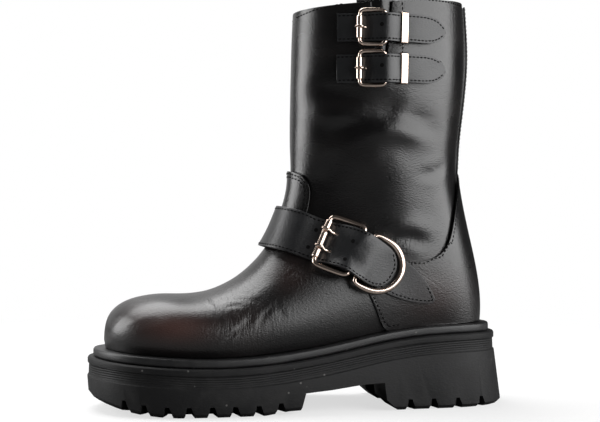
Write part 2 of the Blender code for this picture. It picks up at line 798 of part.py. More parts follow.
def sweep(bm, path, binormal, outline, scales=None, closed=False):
    """Carry an outline of (in plane, across) offsets along a flat path."""
    path = np.asarray(path, float)
    count = len(path)
    rings = []
    for i in range(count):
        if closed:
            tangent = path[(i + 1) % count] - path[i - 1]
        else:
            tangent = path[min(i + 1, count - 1)] - path[max(i - 1, 0)]
        sideways = unit(np.cross(binormal, unit(tangent)))
        a_scale, b_scale = scales[i] if scales is not None else (1.0, 1.0)
        ring = [bm.verts.new(path[i] + sideways * a * a_scale + binormal * b * b_scale) for a, b in outline]
        rings.append(ring)
    sides = len(outline)
    pairs = list(zip(rings[:-1], rings[1:]))
    if closed:
        pairs.append((rings[-1], rings[0]))
    else:
        bm.faces.new(rings[0])
        bm.faces.new(rings[-1])
    for first, last in pairs:
        for i in range(sides):
            j = (i + 1) % sides
            bm.faces.new((first[i], first[j], last[j], last[i]))


def round_outline(a, b, sides):
    angles = [2 * math.pi * i / sides for i in range(sides)]
    return [(a * math.cos(angle), b * math.sin(angle)) for angle in angles]


def rounded_box(half_a, half_b, radius, corner):
    """Closed path of a rectangle with round corners, as (a, b)."""
    path = []
    for quarter, (sa, sb) in enumerate(((1, 1), (-1, 1), (-1, -1), (1, -1))):
        for i in range(corner + 1):
            angle = math.pi / 2 * (quarter + i / corner)
            a = sa * (half_a - radius) + radius * math.cos(angle)
            b = sb * (half_b - radius) + radius * math.sin(angle)
            path.append((a, b))
    return path


def buckle_heights(line, middle, size):
    """Heights of the roller bar and of the pivot bar over the buckle's own middle."""
    place, along, side, normal = frame_at(line, middle)
    across = np.linspace(-size["strap_half"], size["strap_half"], 7)
    under = place - along * size["length"]
    roller_sag = max(float(np.dot(drop(under + side * c, normal) - place, normal)) for c in across)
    under = place + along * size["length"]
    pivot_sag = max(float(np.dot(drop(under + side * c, normal) - place, normal)) for c in across)
    eye = size["bar"] + SEAT + 2 * EYE_WALL
    roller = roller_sag + size["strap_lift"] + size["strap_thick"] + SEAT + size["roller"]
    pivot = pivot_sag + size["anchor_lift"] + size["anchor_thick"] + SEAT + eye
    return {"roller": roller, "pivot": pivot, "eye": eye, "over": pivot - pivot_sag + eye + SEAT}


def prong_path(size, heights):
    """Middle line of a prong in the buckle's plane: hook round the pivot, then out over the roller."""
    radius = size["bar"] + SEAT + EYE_WALL
    path = []
    for angle in np.linspace(math.radians(-130), math.radians(90), 9):
        path.append((size["length"] + radius * math.cos(angle), heights["pivot"] + radius * math.sin(angle)))
    rest = heights["roller"] + size["roller"] + SEAT + size["prong"]
    start = path[-1]
    for share in (0.18, 0.4, 0.7, 1.0):
        path.append((start[0] + (-size["length"] - start[0]) * share, start[1] + (rest - start[1]) * share))
    path.append((-size["length"] - 1.8, rest - 0.2))
    path.append((-size["length"] - 3.2, rest - 0.7))
    thin = EYE_WALL / size["prong"]
    scales = [(thin, 1.0)] * 9 + [(0.7, 1.0)] + [(1.0, 1.0)] * 3 + [(0.9, 0.9), (0.45, 0.5)]
    return path, scales


def build_buckle(prefix, line, middle, size, strap):
    """Frame, roller and prongs of one buckle; the strap is cleared where the prongs pass."""
    place, along, side, normal = frame_at(line, middle)
    heights = buckle_heights(line, middle, size)
    tag = prefix.split("_")
    names = ["_".join([tag[0], piece, *tag[1:]]) for piece in ("buckle", "roller", "prong")]
    slope = (heights["pivot"] - heights["roller"]) / (2 * size["length"])
    level = (heights["pivot"] + heights["roller"]) / 2
    flat = unit(normal - along * slope)

    def spot(a, c, n=0.0):
        return place + along * a + side * c + normal * (level + a * slope + n)

    path = []
    scales = []
    corner = size["wire"] * 2.2
    for a, c in rounded_box(size["length"], size["height"], corner, 3):
        path.append(spot(a, c))
        wide = size["wire"]
        if abs(a) > size["length"] - 0.1:
            wide = size["bar"]
        scales.append((wide, wide if abs(a) > size["length"] - 0.1 else wide * 0.9))
    bm = bmesh.new()
    sweep(bm, path, flat, round_outline(1.0, 1.0, size["sides"]), scales, closed=True)
    new_object(names[0], bm, METAL)

    bm = bmesh.new()
    half = size["height"] - corner - 0.4
    hole = size["bar"] + SEAT
    rim = 0.5
    profile = ((-half, hole), (-half, size["roller"] - rim), (-half + rim, size["roller"]),
               (half - rim, size["roller"]), (half, size["roller"] - rim), (half, hole))
    centre = place - along * size["length"] + normal * heights["roller"]
    rings = []
    for i in range(14):
        angle = 2 * math.pi * i / 14
        out = along * math.cos(angle) + normal * math.sin(angle)
        rings.append([bm.verts.new(centre + side * c + out * r) for c, r in profile])
    for i, ring in enumerate(rings):
        after = rings[(i + 1) % 14]
        for k in range(6):
            bm.faces.new((ring[k], ring[(k + 1) % 6], after[(k + 1) % 6], after[k]))
    new_object(names[1], bm, METAL)

    path, scales = prong_path(size, heights)
    cutter = bmesh.new()
    for row, c in enumerate(size["prong_rows"]):
        bm = bmesh.new()
        points = [place + along * a + side * c + normal * n for a, n in path]
        sweep(bm, points, side, round_outline(size["prong"], size["prong"], 6), scales)
        ending = ("_high", "_low")[row] if len(size["prong_rows"]) > 1 else ""
        new_object(names[2] + ending, bm, METAL)
        clear = size["prong"] + 0.7
        sweep(cutter, points[7:-1], side, round_outline(clear, clear, 8))
    cut(strap, new_object("cut_" + names[2], cutter, None))


def lift_curve(rows, run):
    return spline([row[0] for row in rows], [row[1] for row in rows], run)


def build_ankle():
    line = drape_line(ANKLE_LINE, 0.06, 0.94)
    middle = run_at_x(line, ANKLE["centre_x"])
    heights = buckle_heights(line, middle, ANKLE)
    long = ANKLE["length"]
    over = heights["over"]
    ring_top = ANKLE["anchor_lift"] + ANKLE["anchor_thick"] + SEAT + 2 * RING["half_thick"] + SEAT
    lifts = (
        # distance from the buckle's middle, lift off the upper
        (-300.0, 2.9),
        (-middle, 2.8),
        (-middle + 31.0, 2.5),
        (-long - 9.0, 0.6),
        (-long - 4.0, 0.6),
        (-long, 0.6),
        (-long + 5.0, 1.7),
        (0.0, over * 0.56),
        (long - 4.0, over + 0.2),
        (long, over + 1.0),
        (long + 3.0, over + 0.9),
        (RING["offset"] + 2.0, ring_top + 0.7),
        (29.0, 6.2),
        (36.0, 5.2),
        (50.0, 5.0),
    )
    medial = np.array([row[0] for row in MEDIAL_TAIL])
    tail = [-long, -9.0, -5.0, 0.0, 5.0, 9.0, long, 16.0, 20.0, 23.0] + [row[0] for row in ANKLE_TAIL]
    runs = np.concatenate([
        -medial[::-1],
        np.linspace(-86.0, -28.0, 6),
        np.linspace(-20.0, 20.0, 9),
        np.linspace(26.0, middle - long - 4.0, 4),
        middle + np.array(tail),
    ])
    stations = []
    for run in runs:
        half = ANKLE["strap_half"]
        if run < 0:
            half = taper(MEDIAL_TAIL, -run, half)
        else:
            half = taper(ANKLE_TAIL, run - middle, half)
        flat = float(np.interp(run - middle, (-long, -4.0, 26.0, 34.0), (0.0, 1.0, 1.0, 0.4)))
        stations.append((run, half, float(lift_curve(lifts, run - middle)), flat))
    strap = ribbon("ankle_strap", line, stations, ANKLE["strap_thick"], 4, STRAP_LEATHER)
    stations = []
    for offset in (6.0, 14.0, 22.0, 30.0, 38.0, *[row[0] for row in ANCHOR_TAIL]):
        half = taper(ANCHOR_TAIL, offset, ANKLE["strap_half"])
        stations.append((middle + offset, half, ANKLE["anchor_lift"], 0.0))
    ribbon("ankle_anchor", line, stations, ANKLE["anchor_thick"], 5, STRAP_LEATHER)
    build_buckle("ankle", line, middle, ANKLE, strap)
    build_ring(line, middle)


def build_ring(line, middle):
    """Metal ring with one straight bar, lying round the end of the ankle strap."""
    centre_run = middle + RING["offset"] + RING["chord"]
    place, along, side, normal = frame_at(line, centre_run)
    bar = place - along * RING["chord"]
    across = np.linspace(-ANKLE["strap_half"], ANKLE["strap_half"], 7)
    sag = max(float(np.dot(drop(bar + side * c, normal) - place, normal)) for c in across)
    level = sag + ANKLE["anchor_lift"] + ANKLE["anchor_thick"] + SEAT + RING["half_thick"] + 0.4
    radius = RING["radius"]
    path = [(radius * math.cos(t), radius * math.sin(t)) for t in np.linspace(-math.pi / 2, math.pi / 2, 13)]
    bend = RING["corner"]
    inset = bend * (1 - math.sqrt(0.5))
    back = -RING["chord"]
    arm = [(back + bend, radius), (back + inset, radius - inset), (back, radius - bend)]
    path += arm + [(back, 0.0)] + [(a, -c) for a, c in arm[::-1]]
    points = [place + along * a + side * c + normal * level for a, c in path]
    bm = bmesh.new()
    outline = round_outline(RING["half_width"], RING["half_thick"], 8)
    slim = [(1.0, 1.0)] * 13 + [(0.8, 1.0)] * 7
    sweep(bm, points, normal, outline, slim, closed=True)
    new_object("d_ring", bm, METAL)


def build_collar(ending, shape):
    line = drape_line(shape, 0.02, 0.5)
    middle = run_at_x(line, COLLAR["centre_x"])
    heights = buckle_heights(line, middle, COLLAR)
    long = COLLAR["length"]
    over = heights["over"]
    hold = COLLAR["anchor_lift"] + COLLAR["anchor_thick"] + SEAT + KEEPER["thick"] + SEAT + 0.1
    keeper = KEEPER["offset"]
    lifts = (
        # distance from the buckle's middle, lift off the upper
        (-40.0, 0.4),
        (-COLLAR_BACK, 0.4),
        (-long - 3.0, 0.4),
        (-long, 0.4),
        (-long + 4.0, 1.3),
        (0.0, over * 0.56),
        (long - 3.0, over * 0.96),
        (long, over + 0.2),
        (long + 3.0, over),
        (keeper - 4.0, hold + 0.5),
        (keeper, hold),
        (keeper + 5.0, hold),
        (36.0, 2.4),
        (49.0, 1.0),
        (70.0, 0.8),
    )
    offsets = [-COLLAR_BACK, -16.0, -12.0, -long, -6.0, -3.0, 0.0, 3.0, 6.0, long, 13.0, 17.0]
    offsets += [keeper, 24.5, 30.0] + [row[0] for row in COLLAR_TAIL]
    stations = []
    for offset in offsets:
        half = taper(COLLAR_TAIL, offset, COLLAR["strap_half"])
        stations.append((middle + offset, half, float(lift_curve(lifts, offset)), 0.0))
    strap = ribbon("collar_strap_" + ending, line, stations, COLLAR["strap_thick"], 4, STRAP_LEATHER)
    stations = []
    for offset in (4.0, 10.0, 16.0, 22.0, 28.0, COLLAR_ANCHOR_END):
        stations.append((middle + offset, COLLAR["strap_half"] - 1.0, COLLAR["anchor_lift"], 0.0))
    ribbon("collar_anchor_" + ending, line, stations, COLLAR["anchor_thick"], 4, STRAP_LEATHER)
    build_buckle("collar_" + ending, line, middle, COLLAR, strap)
    build_keeper("collar_keeper_" + ending, line, middle + keeper, float(lift_curve(lifts, keeper)))


def build_keeper(name, line, run, lift):
    """Flat metal loop round the tail of a collar strap."""
    place, along, side, normal = frame_at(line, run)
    half_n = (COLLAR["strap_thick"] + KEEPER["thick"]) / 2 + SEAT
    half_c = COLLAR["strap_half"] + SEAT + KEEPER["thick"] / 2 + 0.2
    centre = place + normal * (lift + COLLAR["strap_thick"] / 2)
    path = [centre + side * c + normal * n for c, n in rounded_box(half_c, half_n, 0.9, 2)]
    thick = KEEPER["thick"] / 2
    wide = KEEPER["half_width"]
    bm = bmesh.new()
    sweep(bm, path, along, ((thick, wide), (-thick, wide), (-thick, -wide), (thick, -wide)), closed=True)
    new_object(name, bm, METAL)


def build_gusset():
    """Folded leather behind the slit of the collar."""
    outer = []
    inner = []
    for z, front, back, fold in GUSSET:
        x = np.linspace(front, back, 9)
        spread = np.linspace(-1, 1, 9)
        lift = -WALL - SEAT - 0.6 + fold * np.exp(-(spread / 0.28) ** 2)
        skin = []
        for at in x:
            hit = SKIN_TREE.ray_cast(Vector((at, 120.0, z)), Vector((0.0, -1.0, 0.0)))[0]
            skin.append(np.array(hit))
        skin = np.array(skin)
        tangent = np.gradient(skin, axis=0)
        normal = unit(np.cross(tangent, np.array([0.0, 0.0, 1.0])))
        outer.append(skin + normal * lift[:, None])
        inner.append(skin + normal * (lift - OVERLAY)[:, None])
    wall("gusset", [(np.array(outer), np.array(inner))], LEATHER)


for old in list(bpy.data.objects):
    bpy.data.objects.remove(old, do_unlink=True)
build_sole()
build_upper()
build_counter()
build_tab()
build_stay()
build_gusset()
build_ankle()
build_collar("high", HIGH_LINE)
build_collar("low", LOW_LINE)
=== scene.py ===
import math

import bmesh
import bpy
import numpy as np
from mathutils import Matrix, Vector
from mathutils.bvhtree import BVHTree


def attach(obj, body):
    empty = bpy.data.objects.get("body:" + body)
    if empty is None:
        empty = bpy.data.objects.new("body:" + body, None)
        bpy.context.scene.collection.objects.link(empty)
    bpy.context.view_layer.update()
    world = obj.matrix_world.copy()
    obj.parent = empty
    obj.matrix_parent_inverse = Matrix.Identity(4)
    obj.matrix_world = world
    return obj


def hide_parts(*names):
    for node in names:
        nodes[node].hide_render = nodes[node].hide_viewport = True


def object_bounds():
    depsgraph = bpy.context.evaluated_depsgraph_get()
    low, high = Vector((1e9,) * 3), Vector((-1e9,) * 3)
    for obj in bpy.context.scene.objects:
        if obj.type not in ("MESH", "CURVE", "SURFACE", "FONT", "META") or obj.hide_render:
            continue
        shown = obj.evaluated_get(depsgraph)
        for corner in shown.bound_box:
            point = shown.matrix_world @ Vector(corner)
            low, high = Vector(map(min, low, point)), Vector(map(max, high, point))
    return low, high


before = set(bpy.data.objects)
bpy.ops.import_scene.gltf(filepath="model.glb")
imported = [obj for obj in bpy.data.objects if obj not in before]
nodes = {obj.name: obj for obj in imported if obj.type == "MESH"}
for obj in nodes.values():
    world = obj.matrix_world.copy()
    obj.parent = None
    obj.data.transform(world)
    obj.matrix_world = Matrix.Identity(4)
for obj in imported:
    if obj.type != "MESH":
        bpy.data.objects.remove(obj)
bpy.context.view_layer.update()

scene = bpy.context.scene

# sizes on the shoe are in mm: x from the back of the heel, y out to the lateral side, z up from the ground
shoe = {"mm": 0.001, "heelX": 147.545, "middleY": -0.193}


def spot(x, y, z):
    return Vector(((x - shoe["heelX"]) * shoe["mm"], (y - shoe["middleY"]) * shoe["mm"], z * shoe["mm"]))


def shoeSizes(points):
    sizes = np.array(points, float) / shoe["mm"]
    return sizes + np.array((shoe["heelX"], shoe["middleY"], 0.0))


# camera: level, 11 degrees round to the toe, 0.9 m away, for a frame of 600 by 422
lens = {"target": (-0.001545, 0.000193, 0.135), "turn": 11.0, "far": 0.9, "lens": 76.68, "sensor": 36.0,
        "frame": (600, 422)}
cameraData = bpy.data.cameras.new("photoCamera")
cameraData.sensor_width, cameraData.lens = lens["sensor"], lens["lens"]
camera = bpy.data.objects.new("photoCamera", cameraData)
turn = math.radians(lens["turn"])
camera.location = Vector(lens["target"]) + Vector((math.sin(turn), math.cos(turn), 0)) * lens["far"]
camera.rotation_euler = (Vector(lens["target"]) - camera.location).to_track_quat("-Z", "Y").to_euler()
scene.collection.objects.link(camera)
scene.camera = camera


def frameRay(across, down):
    scale = lens["sensor"] / lens["lens"] / lens["frame"][0]
    aim = Vector(((across - lens["frame"][0] / 2) * scale, (lens["frame"][1] / 2 - down) * scale, -1.0))
    return camera.location, (camera.rotation_euler.to_matrix() @ aim).normalized()


# shader helpers

def nodeIn(tree, kind, inputs=None, **settings):
    made = tree.nodes.new(kind)
    for key, value in settings.items():
        setattr(made, key, value)
    for key, value in (inputs or {}).items():
        socket = made.inputs[key]
        if isinstance(value, bpy.types.NodeSocket):
            tree.links.new(value, socket)
        else:
            socket.default_value = value
    return made


def newGroup(name, takes, gives):
    tree = bpy.data.node_groups.new(name, "ShaderNodeTree")
    for label, start in takes.items():
        socket = tree.interface.new_socket(label, in_out="INPUT", socket_type="NodeSocketFloat")
        socket.default_value = start
    for label in gives:
        tree.interface.new_socket(label, in_out="OUTPUT", socket_type="NodeSocketFloat")
    return tree, tree.nodes.new("NodeGroupInput"), tree.nodes.new("NodeGroupOutput")


def math2(tree, operation, a, b):
    return nodeIn(tree, "ShaderNodeMath", {0: a, 1: b}, operation=operation).outputs[0]


def ramp(tree, value, low, high):
    return nodeIn(tree, "ShaderNodeMapRange", {"Value": value, "From Min": low, "From Max": high},
                  interpolation_type="SMOOTHSTEP").outputs["Result"]


def between(tree, value, ends, low=0.0, high=1.0):
    return nodeIn(tree, "ShaderNodeMapRange", {"Value": value, "From Min": low, "From Max": high,
                                               "To Min": ends[0], "To Max": ends[1]}).outputs["Result"]


def painted(tree, label):
    return nodeIn(tree, "ShaderNodeAttribute", attribute_name=label, attribute_type="GEOMETRY").outputs["Fac"]


# hide grain: small pebbles with pores between them, and a slow change of tone
grainShape = {"stretch": (0.72, 0.8, 1.35), "pores": 0.9, "pebbleHigh": -0.7}


def hideGrainGroup():
    tree, given, out = newGroup("hideGrain", {"Pebble": 900.0, "Slow": 22.0}, ("Height", "Tone"))
    place = nodeIn(tree, "ShaderNodeMapping", {"Vector": tree.nodes.new("ShaderNodeTexCoord").outputs["Object"],
                                               "Scale": grainShape["stretch"]}).outputs["Vector"]
    cells = nodeIn(tree, "ShaderNodeTexVoronoi", {"Vector": place, "Scale": given.outputs["Pebble"]},
                   feature="SMOOTH_F1")
    pores = math2(tree, "MULTIPLY", given.outputs["Pebble"], grainShape["pores"])
    fine = nodeIn(tree, "ShaderNodeTexNoise", {"Vector": place, "Scale": pores, "Detail": 4.0, "Roughness": 0.6})
    slow = nodeIn(tree, "ShaderNodeTexNoise", {"Vector": place, "Scale": given.outputs["Slow"], "Detail": 3.0})
    pebbles = math2(tree, "MULTIPLY", cells.outputs["Distance"], grainShape["pebbleHigh"])
    tree.links.new(math2(tree, "ADD", pebbles, fine.outputs["Fac"]), out.inputs["Height"])
    tree.links.new(slow.outputs["Fac"], out.inputs["Tone"])
    return tree


# dust: pale specks and a thin film
dustShape = {"speck": (0.22, 0.08), "film": (0.42, 0.75)}


def dustMarksGroup():
    tree, given, out = newGroup("dustMarks", {"Specks": 260.0, "Share": 0.1, "Film": 30.0}, ("Speck", "Film"))
    place = tree.nodes.new("ShaderNodeTexCoord").outputs["Object"]
    cells = nodeIn(tree, "ShaderNodeTexVoronoi", {"Vector": place, "Scale": given.outputs["Specks"]}, feature="F1")
    picked = ramp(tree, nodeIn(tree, "ShaderNodeSeparateColor", {"Color": cells.outputs["Color"]}).outputs["Red"],
                  math2(tree, "SUBTRACT", 1.0, given.outputs["Share"]), 1.0)
    near = ramp(tree, cells.outputs["Distance"], *dustShape["speck"])
    speck = math2(tree, "MULTIPLY", picked, near)
    film = nodeIn(tree, "ShaderNodeTexNoise", {"Vector": place, "Scale": given.outputs["Film"], "Detail": 6.0,
                                               "Roughness": 0.65})
    tree.links.new(speck, out.inputs["Speck"])
    tree.links.new(ramp(tree, film.outputs["Fac"], *dustShape["film"]), out.inputs["Film"])
    return tree


hideGrain = hideGrainGroup()
dustMarks = dustMarksGroup()


def newMaterial(name, settings):
    material = bpy.data.materials.new(name)
    material.use_nodes = True
    tree = material.node_tree
    shader = tree.nodes["Principled BSDF"]
    for key, value in settings.items():
        shader.inputs[key].default_value = value
    return material, tree, shader


def groupIn(tree, group, inputs):
    made = nodeIn(tree, "ShaderNodeGroup", node_tree=group)
    for key, value in inputs.items():
        made.inputs[key].default_value = value
    return made


def mixColour(tree, factor, a, b):
    made = nodeIn(tree, "ShaderNodeMix", data_type="RGBA")
    for index, value in ((0, factor), (6, a), (7, b)):
        if isinstance(value, bpy.types.NodeSocket):
            tree.links.new(value, made.inputs[index])
        else:
            made.inputs[index].default_value = value
    return made.outputs[2]


# relief in m; the polish of the hide goes off between the two heights of foot
hide = {"grainDeep": 0.0004, "wrinkleDeep": 0.0004, "wrinkleBump": 0.32, "wrinkleTurn": -35.0,
        "wrinkleScale": (620.0, 160.0, 130.0), "wrinkleLines": (0.42, 0.62), "toneRange": (0.35, 0.7),
        "roughRange": (0.3, 0.7), "foot": (0.115, 0.085)}
rubberRelief = {"deep": 0.0005, "grain": 0.35}
metalRelief = {"deep": 0.0001}


def leatherMaterial(name, look):
    material, tree, shader = newMaterial(name, {"Coat Weight": look["coat"], "Coat Roughness": look["coatRough"],
                                                "Specular IOR Level": look["shine"]})
    grain = groupIn(tree, hideGrain, {"Pebble": look["pebble"], "Slow": look["slow"]})
    tone = ramp(tree, grain.outputs["Tone"], *hide["toneRange"])
    colour = mixColour(tree, tone, look["dark"], look["light"])
    # worn brown patches; their colour is lightened so that they also paint a soft highlight on the toe
    colour = mixColour(tree, painted(tree, "wearAndSheen"), colour, look["wearAndSheen"])
    tree.links.new(colour, shader.inputs["Base Color"])
    place = tree.nodes.new("ShaderNodeTexCoord").outputs["Object"]
    rough = between(tree, grain.outputs["Tone"], look["rough"], *hide["roughRange"])
    if "footDull" in look:   # the foot is less polished than the shaft
        high = nodeIn(tree, "ShaderNodeSeparateXYZ", {"Vector": place}).outputs["Z"]
        duller = math2(tree, "MULTIPLY", ramp(tree, high, *hide["foot"]), look["footDull"])
        rough = math2(tree, "ADD", rough, duller)
    tree.links.new(rough, shader.inputs["Roughness"])
    bump = nodeIn(tree, "ShaderNodeBump", {"Height": grain.outputs["Height"], "Strength": look["bump"],
                                           "Distance": hide["grainDeep"]})
    # fine wrinkles run slantwise over the bent places
    turned = nodeIn(tree, "ShaderNodeMapping", {"Vector": place, "Scale": hide["wrinkleScale"],
                                                "Rotation": (0.0, math.radians(hide["wrinkleTurn"]), 0.0)})
    wrinkle = nodeIn(tree, "ShaderNodeTexNoise", {"Vector": turned.outputs["Vector"], "Scale": 1.0, "Detail": 3.0,
                                                  "Distortion": 0.4})
    lines = ramp(tree, wrinkle.outputs["Fac"], *hide["wrinkleLines"])
    lines = math2(tree, "MULTIPLY", lines, painted(tree, "creased"))
    wrinkled = nodeIn(tree, "ShaderNodeBump", {"Height": lines, "Strength": hide["wrinkleBump"],
                                               "Distance": hide["wrinkleDeep"], "Normal": bump.outputs["Normal"]})
    tree.links.new(wrinkled.outputs["Normal"], shader.inputs["Normal"])
    return material


def rubberMaterial(name, look):
    material, tree, shader = newMaterial(name, {"Specular IOR Level": look["shine"]})
    grain = groupIn(tree, hideGrain, {"Pebble": look["pebble"], "Slow": look["slow"]})
    dust = groupIn(tree, dustMarks, {"Specks": look["specks"], "Share": look["share"], "Film": look["film"]})
    base = mixColour(tree, grain.outputs["Tone"], look["dark"], look["light"])
    filmed = math2(tree, "MULTIPLY", dust.outputs["Film"], look["filmShare"])
    base = mixColour(tree, filmed, base, look["dust"])
    specked = math2(tree, "MULTIPLY", dust.outputs["Speck"], look["speckShare"])
    tree.links.new(mixColour(tree, specked, base, look["dust"]), shader.inputs["Base Color"])
    tree.links.new(between(tree, dust.outputs["Film"], look["rough"]), shader.inputs["Roughness"])
    height = math2(tree, "MULTIPLY", grain.outputs["Height"], rubberRelief["grain"])
    if "band" in look:   # fine moulded lines, in mm below the top edge
        drop, (top, low) = painted(tree, "drop"), look["band"]
        waves = nodeIn(tree, "ShaderNodeMath", {0: math2(tree, "MULTIPLY", drop, look["lines"])}, operation="SINE")
        band = math2(tree, "MULTIPLY", ramp(tree, drop, top, top + look["fade"]),
                     ramp(tree, drop, low + look["fade"], low))
        ribs = math2(tree, "MULTIPLY", math2(tree, "MULTIPLY", waves.outputs[0], band), look["lineDepth"])
        height = math2(tree, "ADD", height, ribs)
    bump = nodeIn(tree, "ShaderNodeBump", {"Height": height, "Strength": look["bump"],
                                           "Distance": rubberRelief["deep"]})
    tree.links.new(bump.outputs["Normal"], shader.inputs["Normal"])
    return material


def metalMaterial(name, look):
    material, tree, shader = newMaterial(name, {"Metallic": 1.0})
    dust = groupIn(tree, dustMarks, {"Specks": look["specks"], "Share": look["share"], "Film": look["film"]})
    grain = groupIn(tree, hideGrain, {"Pebble": look["pebble"], "Slow": look["slow"]})
    colour = mixColour(tree, grain.outputs["Tone"], look["dark"], look["light"])
    tree.links.new(colour, shader.inputs["Base Color"])
    tree.links.new(between(tree, dust.outputs["Film"], look["rough"]), shader.inputs["Roughness"])
    bump = nodeIn(tree, "ShaderNodeBump", {"Height": grain.outputs["Height"], "Strength": look["bump"],
                                           "Distance": metalRelief["deep"]})
    tree.links.new(bump.outputs["Normal"], shader.inputs["Normal"])
    return material


# the rubbed colour of the black hide is a wear tint lifted to also paint the toe's soft sheen
blackLeather = leatherMaterial("blackLeather", {
    "dark": (0.003, 0.0028, 0.003, 1), "light": (0.006, 0.0052, 0.0052, 1), "wearAndSheen": (0.115, 0.058, 0.049, 1),
    "rough": (0.20, 0.29), "footDull": 0.09, "coat": 0.12, "coatRough": 0.2, "shine": 0.5, "pebble": 1000.0,
    "slow": 24.0, "bump": 0.38})
strapLeather = leatherMaterial("strapLeather", {
    "dark": (0.008, 0.0085, 0.0095, 1), "light": (0.014, 0.014, 0.0155, 1), "wearAndSheen": (0.05, 0.03, 0.025, 1),
    "rough": (0.36, 0.48), "coat": 0.15, "coatRough": 0.3, "shine": 0.5, "pebble": 900.0, "slow": 40.0, "bump": 0.35})
liningLeather = leatherMaterial("liningLeather", {
    "dark": (0.020, 0.018, 0.017, 1), "light": (0.036, 0.032, 0.030, 1), "wearAndSheen": (0.05, 0.045, 0.04, 1),
    "rough": (0.62, 0.75), "coat": 0.0, "coatRough": 0.4, "shine": 0.35, "pebble": 1400.0, "slow": 40.0, "bump": 0.2})
dullBlack = {
    "dark": (0.002, 0.002, 0.002, 1), "light": (0.004, 0.004, 0.004, 1), "wearAndSheen": (0.004, 0.004, 0.004, 1),
    "rough": (0.8, 0.9), "coat": 0.0, "coatRough": 0.4, "pebble": 3000.0, "slow": 300.0}
blackThread = leatherMaterial("blackThread", {**dullBlack, "shine": 0.12, "bump": 0.3})
# dull black discs that paint the shade inside the punched holes and the nick
paintedHoleShade = leatherMaterial("paintedHoleShade", {**dullBlack, "shine": 0.1, "bump": 0.2})
soleRubber = rubberMaterial("soleRubber", {
    "dark": (0.006, 0.006, 0.0064, 1), "light": (0.012, 0.012, 0.0125, 1), "dust": (0.30, 0.29, 0.28, 1),
    "rough": (0.56, 0.72), "shine": 0.22, "pebble": 700.0, "slow": 16.0, "bump": 0.5, "specks": 240.0, "share": 0.07,
    "speckShare": 0.5, "film": 55.0, "filmShare": 0.035, "lines": 4.2, "band": (4.2, 11.2), "fade": 0.6,
    "lineDepth": 0.5})
weltRubber = rubberMaterial("weltRubber", {
    "dark": (0.007, 0.007, 0.0075, 1), "light": (0.013, 0.013, 0.014, 1), "dust": (0.30, 0.29, 0.28, 1),
    "rough": (0.42, 0.55), "shine": 0.45, "pebble": 900.0, "slow": 20.0, "bump": 0.3, "specks": 240.0, "share": 0.05,
    "speckShare": 0.35, "film": 60.0, "filmShare": 0.03})
roseMetal = metalMaterial("roseMetal", {
    "dark": (0.66, 0.52, 0.44, 1), "light": (0.80, 0.66, 0.57, 1), "rough": (0.16, 0.28), "film": 70.0,
    "specks": 900.0, "share": 0.2, "pebble": 2600.0, "slow": 90.0, "bump": 0.012})
print("materials made")


# mesh helpers

def mergedCopy(node, flat=30.0):
    bm = bmesh.new()
    bm.from_mesh(nodes[node].data)
    bmesh.ops.remove_doubles(bm, verts=bm.verts, dist=2e-5)
    bmesh.ops.join_triangles(bm, faces=bm.faces, angle_face_threshold=math.radians(flat),
                             angle_shape_threshold=math.radians(90))
    return bm


def plainMesh(name, bm):
    mesh = bpy.data.meshes.new(name)
    bm.to_mesh(mesh)
    bm.free()
    for label in [a.name for a in mesh.attributes if a.name in ("custom_normal", "sharp_edge", "sharp_face")]:
        mesh.attributes.remove(mesh.attributes[label])
    mesh.polygons.foreach_set("use_smooth", [True] * len(mesh.polygons))
    return mesh


def finishedMesh(name, bm, bevel=0.0, angle=50.0, levels=0):
    mesh = plainMesh(name, bm)
    shaped = bpy.data.objects.new(name + "Shaped", mesh)
    scene.collection.objects.link(shaped)
    if bevel:
        rounding = shaped.modifiers.new("edges", "BEVEL")
        rounding.width, rounding.segments, rounding.profile = bevel, 2, 0.5
        rounding.limit_method, rounding.angle_limit = "ANGLE", math.radians(angle)
    if levels:
        subdivided = shaped.modifiers.new("round", "SUBSURF")
        subdivided.levels = subdivided.render_levels = levels
    bpy.context.view_layer.update()
    done = bpy.data.meshes.new_from_object(shaped.evaluated_get(bpy.context.evaluated_depsgraph_get()))
    bpy.data.objects.remove(shaped)
    bpy.data.meshes.remove(mesh)
    done.name = name
    return done


def addPiece(name, mesh, materials, slotName, replaced=(), body="boot", sharp=None):
    piece = bpy.data.objects.new(name, mesh)
    scene.collection.objects.link(piece)
    mesh.materials.clear()
    for material in materials:
        mesh.materials.append(material)
    mesh.polygons.foreach_set("use_smooth", [True] * len(mesh.polygons))
    if sharp:
        mesh.set_sharp_from_angle(angle=math.radians(sharp))
    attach(piece, body)
    if replaced:
        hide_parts(*replaced)
    return piece


def meshArrays(mesh):
    count = len(mesh.vertices)
    co, normal = np.empty(count * 3, np.float32), np.empty(count * 3, np.float32)
    mesh.vertices.foreach_get("co", co)
    mesh.vertices.foreach_get("normal", normal)
    return co.reshape(-1, 3).astype(float), normal.reshape(-1, 3).astype(float)


def surfaceOf(mesh):
    bm = bmesh.new()
    bm.from_mesh(mesh)
    tree = BVHTree.FromBMesh(bm)
    bm.free()
    return tree


